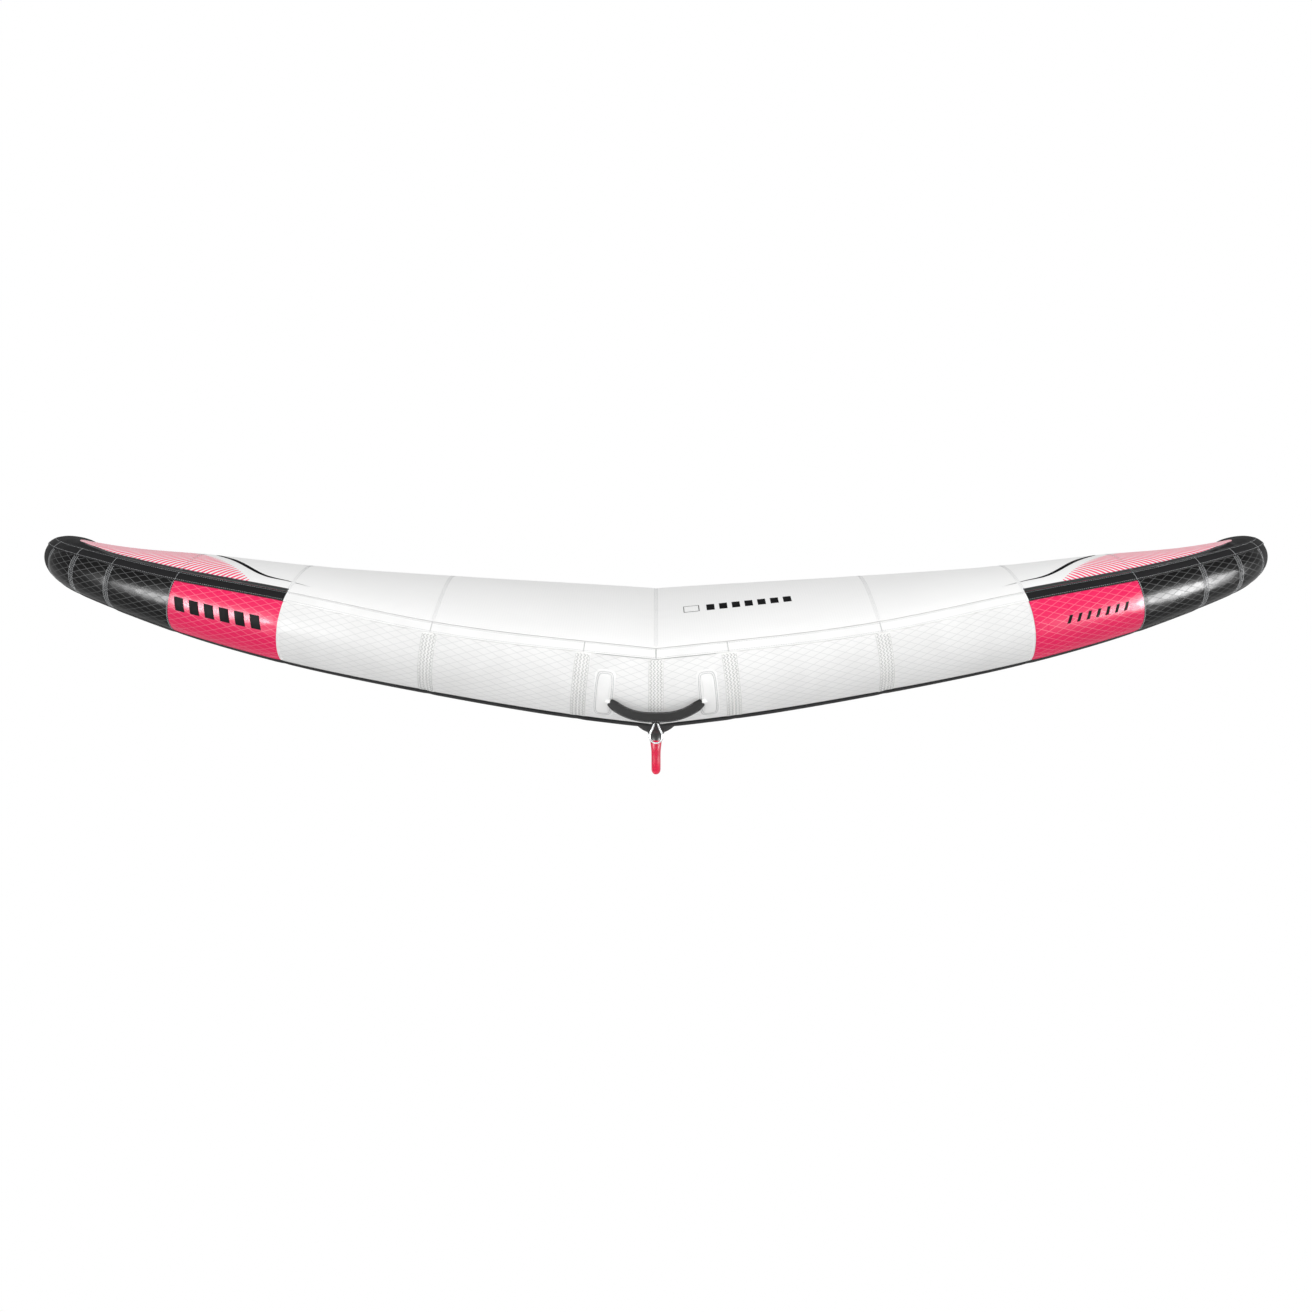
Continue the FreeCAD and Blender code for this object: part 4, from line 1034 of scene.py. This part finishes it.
def build_web():
    """Cloth web between the strut, the tube and the canopy, with drawn tension folds."""
    ys = np.linspace(2, 1715, 300)
    shares = np.linspace(0, 1, 400)
    roof = on_canopy(np.zeros_like(shares), shares, -0.9)
    top = np.interp(ys, roof[:, 1], roof[:, 2])
    radius = STATIONS[0, 3] + 0.5
    tube_top = np.sqrt(np.clip(radius ** 2 - ys ** 2, 0, None))
    strut_top = STRUT_Z(ys) + STRUT_R(ys) - 0.5
    low = np.where(ys < radius, np.maximum(tube_top, strut_top), strut_top)
    t = np.linspace(0, 1, 40)
    height = low[:, None] + (top - low)[:, None] * t
    pull = 1.4 * np.sin(math.pi * t)[None] * waves(41, 9, 0.012, 0.05)(ys[:, None] + 0.8 * height)
    pull *= np.clip((top - low) / 120, 0, 1)[:, None]
    points = np.stack([pull, np.broadcast_to(ys[:, None], pull.shape), height], -1)
    uv = points[..., 1:]
    web = surface("strut_web_cloth", points, uv, "web_cloth", thick=0.8, slot="canopy_cloth")
    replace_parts(web, "strut_web")


# ---------------------------------------------------------------- nose handle, leash and small fittings

def strap_middle(x):
    """Middle line of the nose strap, sagging between its ends."""
    share = np.abs(x) / STRAP_HALF
    sag = 1 - share ** 2.6
    return np.stack([x, STRAP_AXIS[0] - STRAP_LEAN * sag, STRAP_AXIS[1] - STRAP_DROP * sag], -1)


def build_strap():
    """Padded webbing strap: a flat oval sleeve with a stitched edge and folded ends."""
    x = np.linspace(-STRAP_HALF, STRAP_HALF, 161)
    centre = strap_middle(x)
    run = unit(np.gradient(centre, axis=0))
    share = np.abs(x) / STRAP_HALF
    ends = np.clip((share - 0.86) / 0.14, 0, 1) ** 2
    out = np.tile(np.array([0, -1.0, 0]), (len(x), 1))
    out = unit(out - run * (out * run).sum(-1, keepdims=True))
    side = np.cross(run, out)
    turn = np.linspace(0, 2 * math.pi, 49)
    rows = []
    for k in range(len(turn) - 1):
        c, s = math.cos(turn[k]), math.sin(turn[k])
        wide = (12.4 - 3.4 * ends) * np.sign(c) * abs(c) ** 0.55
        thick = (4.3 - 0.6 * ends) * np.sign(s) * abs(s) ** 0.8
        crease = 1 - 0.16 * np.exp(-((abs(c) - 0.84) / 0.07) ** 2)
        rows.append(centre + side * wide[:, None] + out * (thick * crease)[:, None])
    points = np.stack(rows, 1)
    uv = np.stack(np.meshgrid(run_length(centre), turn * 9, indexing="ij"), -1)
    strap = surface("nose_strap_sleeve", points, uv, "black_webbing", wrap=True, flip=True,
                    body="nose_handle")
    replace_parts(strap, "nose_handle_strap")
    groups = []
    for row in (10.2, -10.2):
        def place(u, v, lift, row=row):
            way = np.stack([np.interp(u, x, run[:, k]) for k in range(3)], -1)
            front = unit(np.array([0, -1.0, 0]) + way * way[..., 1:2])
            return strap_middle(u) + np.cross(way, front) * row + front * (3.3 + lift[..., None])

        line = (np.linspace(-96, 96, 300), np.zeros(300))
        groups.append(dashes(place, line, 5.0, 0.62))
    threads("nose_strap_stitching", groups, "pale_thread", 0.28, "black_webbing", "nose_handle")


PATCH_MIDDLE = 116.5
FOLD_START, FOLD_END, FOLD_SIZE = 111.0, 124.0, 4.8


def patch_object(name, sign, s_mid, s_half, low, high, lift, corner):
    """Rounded webbing patch on the tube, domed a little at its rim."""
    rows, cols = 41, 61
    u, v = np.meshgrid(np.linspace(-1, 1, rows), np.linspace(-1, 1, cols), indexing="ij")
    radius = float(TUBE_R(s_mid))
    half_arc = math.radians(high - low) / 2 * radius
    x, y = u * s_half, v * half_arc
    over = np.maximum(np.abs(y) - (half_arc - corner), 0)
    pinch = np.sqrt(np.clip(1 - (over / corner) ** 2, 0, 1))
    reach = max(s_half - corner, 0) + min(corner, s_half) * pinch
    x = np.sign(x) * np.minimum(np.abs(x), reach)
    rim = np.minimum(1 - np.abs(u), 1 - np.abs(v)) * rows / 2
    height = lift * np.clip(rim / 1.2, 0, 1) ** 0.5
    angle = (low + high) / 2 + np.degrees(y / radius)
    points = on_tube(sign * (s_mid + x), angle, height + 0.1)
    uv = np.stack([x, y], -1)
    return surface(name, points, uv, "white_tape", flip=sign < 0)


def build_nose_patches():
    """Patches that hold the ends of the nose strap."""
    groups = []
    for side, sign in SIDES:
        base = patch_object("nose_patch_base_cloth_" + side, sign, PATCH_MIDDLE, 24, -57, 7, 1.0, 14)
        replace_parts(base, "nose_patch_base_" + side)
        web = patch_object("nose_patch_webbing_" + side, sign, PATCH_MIDDLE + 1, 13.5, -51, 1.5, 3.4, 12.4)
        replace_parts(web, "nose_handle_patch_" + side)
        place = lambda s, angle, lift: on_tube(sign * s, angle, 1.15 + lift)
        for s_half, low, high in ((21.0, -54, 4), (17.5, -52, 2)):
            turn = np.linspace(0, 2 * math.pi, 260)
            radius = float(TUBE_R(PATCH_MIDDLE))
            arc = math.radians(high - low) / 2 * radius
            x = s_half * np.sign(np.cos(turn)) * np.abs(np.cos(turn)) ** 0.35
            y = arc * np.sign(np.sin(turn)) * np.abs(np.sin(turn)) ** 0.35
            y *= 1 - 0.10 * (np.abs(x) / s_half) ** 6
            line = (PATCH_MIDDLE + x, (low + high) / 2 + np.degrees(y / radius))
            groups.append(zigzag(place, line, (1.6, 0.7), 4.2))
        fold_points(side, sign)
    threads("nose_patch_stitching", groups, "grey_thread", 0.4)


def fold_points(side, sign):
    """Webbing fold that holds the end of the strap."""
    x = np.linspace(FOLD_START, FOLD_END, 24)
    shrink = np.sqrt(np.clip(1.02 - ((x - FOLD_START) / (FOLD_END - FOLD_START)) ** 2, 0, 1))
    turn = np.linspace(0, 2 * math.pi, 41)
    rows = []
    for k in range(len(turn) - 1):
        c, s = math.cos(turn[k]), math.sin(turn[k])
        stretch = 2.1 if c > 0 else 1.0
        y = STRAP_AXIS[0] + FOLD_SIZE * stretch * c * 0.87 - FOLD_SIZE * s * 0.5
        z = STRAP_AXIS[1] + FOLD_SIZE * stretch * c * 0.5 + FOLD_SIZE * s * 0.87
        yy = STRAP_AXIS[0] + (y - STRAP_AXIS[0]) * shrink
        zz = STRAP_AXIS[1] + (z - STRAP_AXIS[1]) * shrink
        rows.append(np.stack([x * sign, yy, zz], -1))
    points = np.stack(rows, 1)
    uv = np.stack(np.meshgrid(x, turn * 6, indexing="ij"), -1)
    surface("nose_patch_fold_" + side, points, uv, "white_tape", wrap=True, flip=sign < 0)


# ---------------------------------------------------------------- stage

def build_stage():
    """Plain white floor below the wing."""
    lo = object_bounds()[0]
    floor_z = lo.z - 6.0
    bpy.ops.mesh.primitive_plane_add(size=120, location=(0, 20, floor_z))
    floor = bpy.context.object
    floor.name = "floor"
    n = Nodes("floor", None, (0.85, 0.85, 0.85), 0.9)
    path = n.add("ShaderNodeLightPath")
    glow = n.add("ShaderNodeEmission")
    glow.inputs["Color"].default_value = (1, 1, 1, 1)
    glow.inputs["Strength"].default_value = 1.0
    mixer = n.add("ShaderNodeMixShader")
    out = n.tree.nodes["Material Output"]
    n.link(path.outputs["Is Camera Ray"], mixer.inputs[0])
    n.link(n.shader.outputs[0], mixer.inputs[1])
    n.link(glow.outputs[0], mixer.inputs[2])
    n.link(mixer.outputs[0], out.inputs["Surface"])
    floor.data.materials.append(n.material)


def build_world():
    """Even light with a broad bright side ahead of the wing; the camera sees plain white."""
    world = bpy.data.worlds.new("studio")
    bpy.context.scene.world = world
    world.use_nodes = True
    tree = world.node_tree
    back = tree.nodes["Background"]
    back.inputs["Color"].default_value = (1, 1, 1, 1)
    coord = tree.nodes.new("ShaderNodeTexCoord")
    facing = tree.nodes.new("ShaderNodeVectorMath")
    facing.operation = "DOT_PRODUCT"
    facing.inputs[1].default_value = (-0.12, -0.85, 0.51)
    tree.links.new(coord.outputs["Generated"], facing.inputs[0])
    value = facing.outputs["Value"]
    steps = (("MAXIMUM", 0.0), ("POWER", 2.0), ("MULTIPLY", WORLD_LOBE), ("ADD", WORLD_BASE))
    for operation, number in steps:
        node = tree.nodes.new("ShaderNodeMath")
        node.operation = operation
        node.inputs[1].default_value = number
        tree.links.new(value, node.inputs[0])
        value = node.outputs[0]
    path = tree.nodes.new("ShaderNodeLightPath")
    pick = tree.nodes.new("ShaderNodeMix")
    pick.inputs["B"].default_value = 1.0
    tree.links.new(path.outputs["Is Camera Ray"], pick.inputs["Factor"])
    tree.links.new(value, pick.inputs["A"])
    tree.links.new(pick.outputs["Result"], back.inputs["Strength"])


def area_light(name, place, aim, size, power, diffuse=False, spread=180):
    """Softbox; place and aim are in mm from the nose. Without diffuse it only shows as a highlight."""
    data = bpy.data.lights.new(name, "AREA")
    data.shape = "RECTANGLE"
    data.size, data.size_y = size
    data.energy = power
    data.spread = math.radians(spread)
    light = bpy.data.objects.new(name, data)
    bpy.context.collection.objects.link(light)
    place, aim = Vector(to_frame(place)), Vector(to_frame(aim))
    light.location = place
    light.rotation_euler = (aim - place).to_track_quat("-Z", "Y").to_euler()
    light.visible_diffuse = diffuse
    light.visible_camera = False


def build_camera():
    """The photographer stands 8.9 m ahead of the nose, two degrees above it."""
    away, rise, aim_up = 8900.0, math.radians(2.0), 55.0
    data = bpy.data.cameras.new("camera")
    data.sensor_width = 36.0
    data.lens = 100.1
    data.clip_end = 200
    camera = bpy.data.objects.new("camera", data)
    bpy.context.collection.objects.link(camera)
    target = to_frame([0, 0, aim_up])
    place = to_frame([0, -away * math.cos(rise), aim_up + away * math.sin(rise)])
    camera.location = place
    camera.rotation_euler = (Vector(target) - Vector(place)).to_track_quat("-Z", "Y").to_euler()
    bpy.context.scene.camera = camera


def main():
    dress_cad_nodes()
    build_tubes()
    build_ring_bands()
    build_dark_ring_stitches()
    build_seam_bands()
    build_scuff_strips()
    build_canopy()
    build_canopy_seams()
    build_tip_patches()
    build_trailing_edge()
    build_battens()
    build_prints()
    build_strut()
    build_web()
    build_strap()
    build_nose_patches()
    build_stage()
    build_world()
    area_light("softbox_right", [5600, -1160, -250], [1350, 230, 215], (2.4, 1.9), 1500)
    area_light("softbox_left", [-4800, -2500, 110], [-1150, 140, 190], (2.6, 1.4), 1150)
    area_light("key", [2600, -3300, 3600], [0, 0, 50], (0.9, 0.9), 30, True)
    area_light("low_fill", [0, -2600, -900], [0, 350, -110], (0.5, 0.5), 0.09, True, 22)
    build_camera()
    bpy.context.scene.view_settings.view_transform = "Standard"


main()
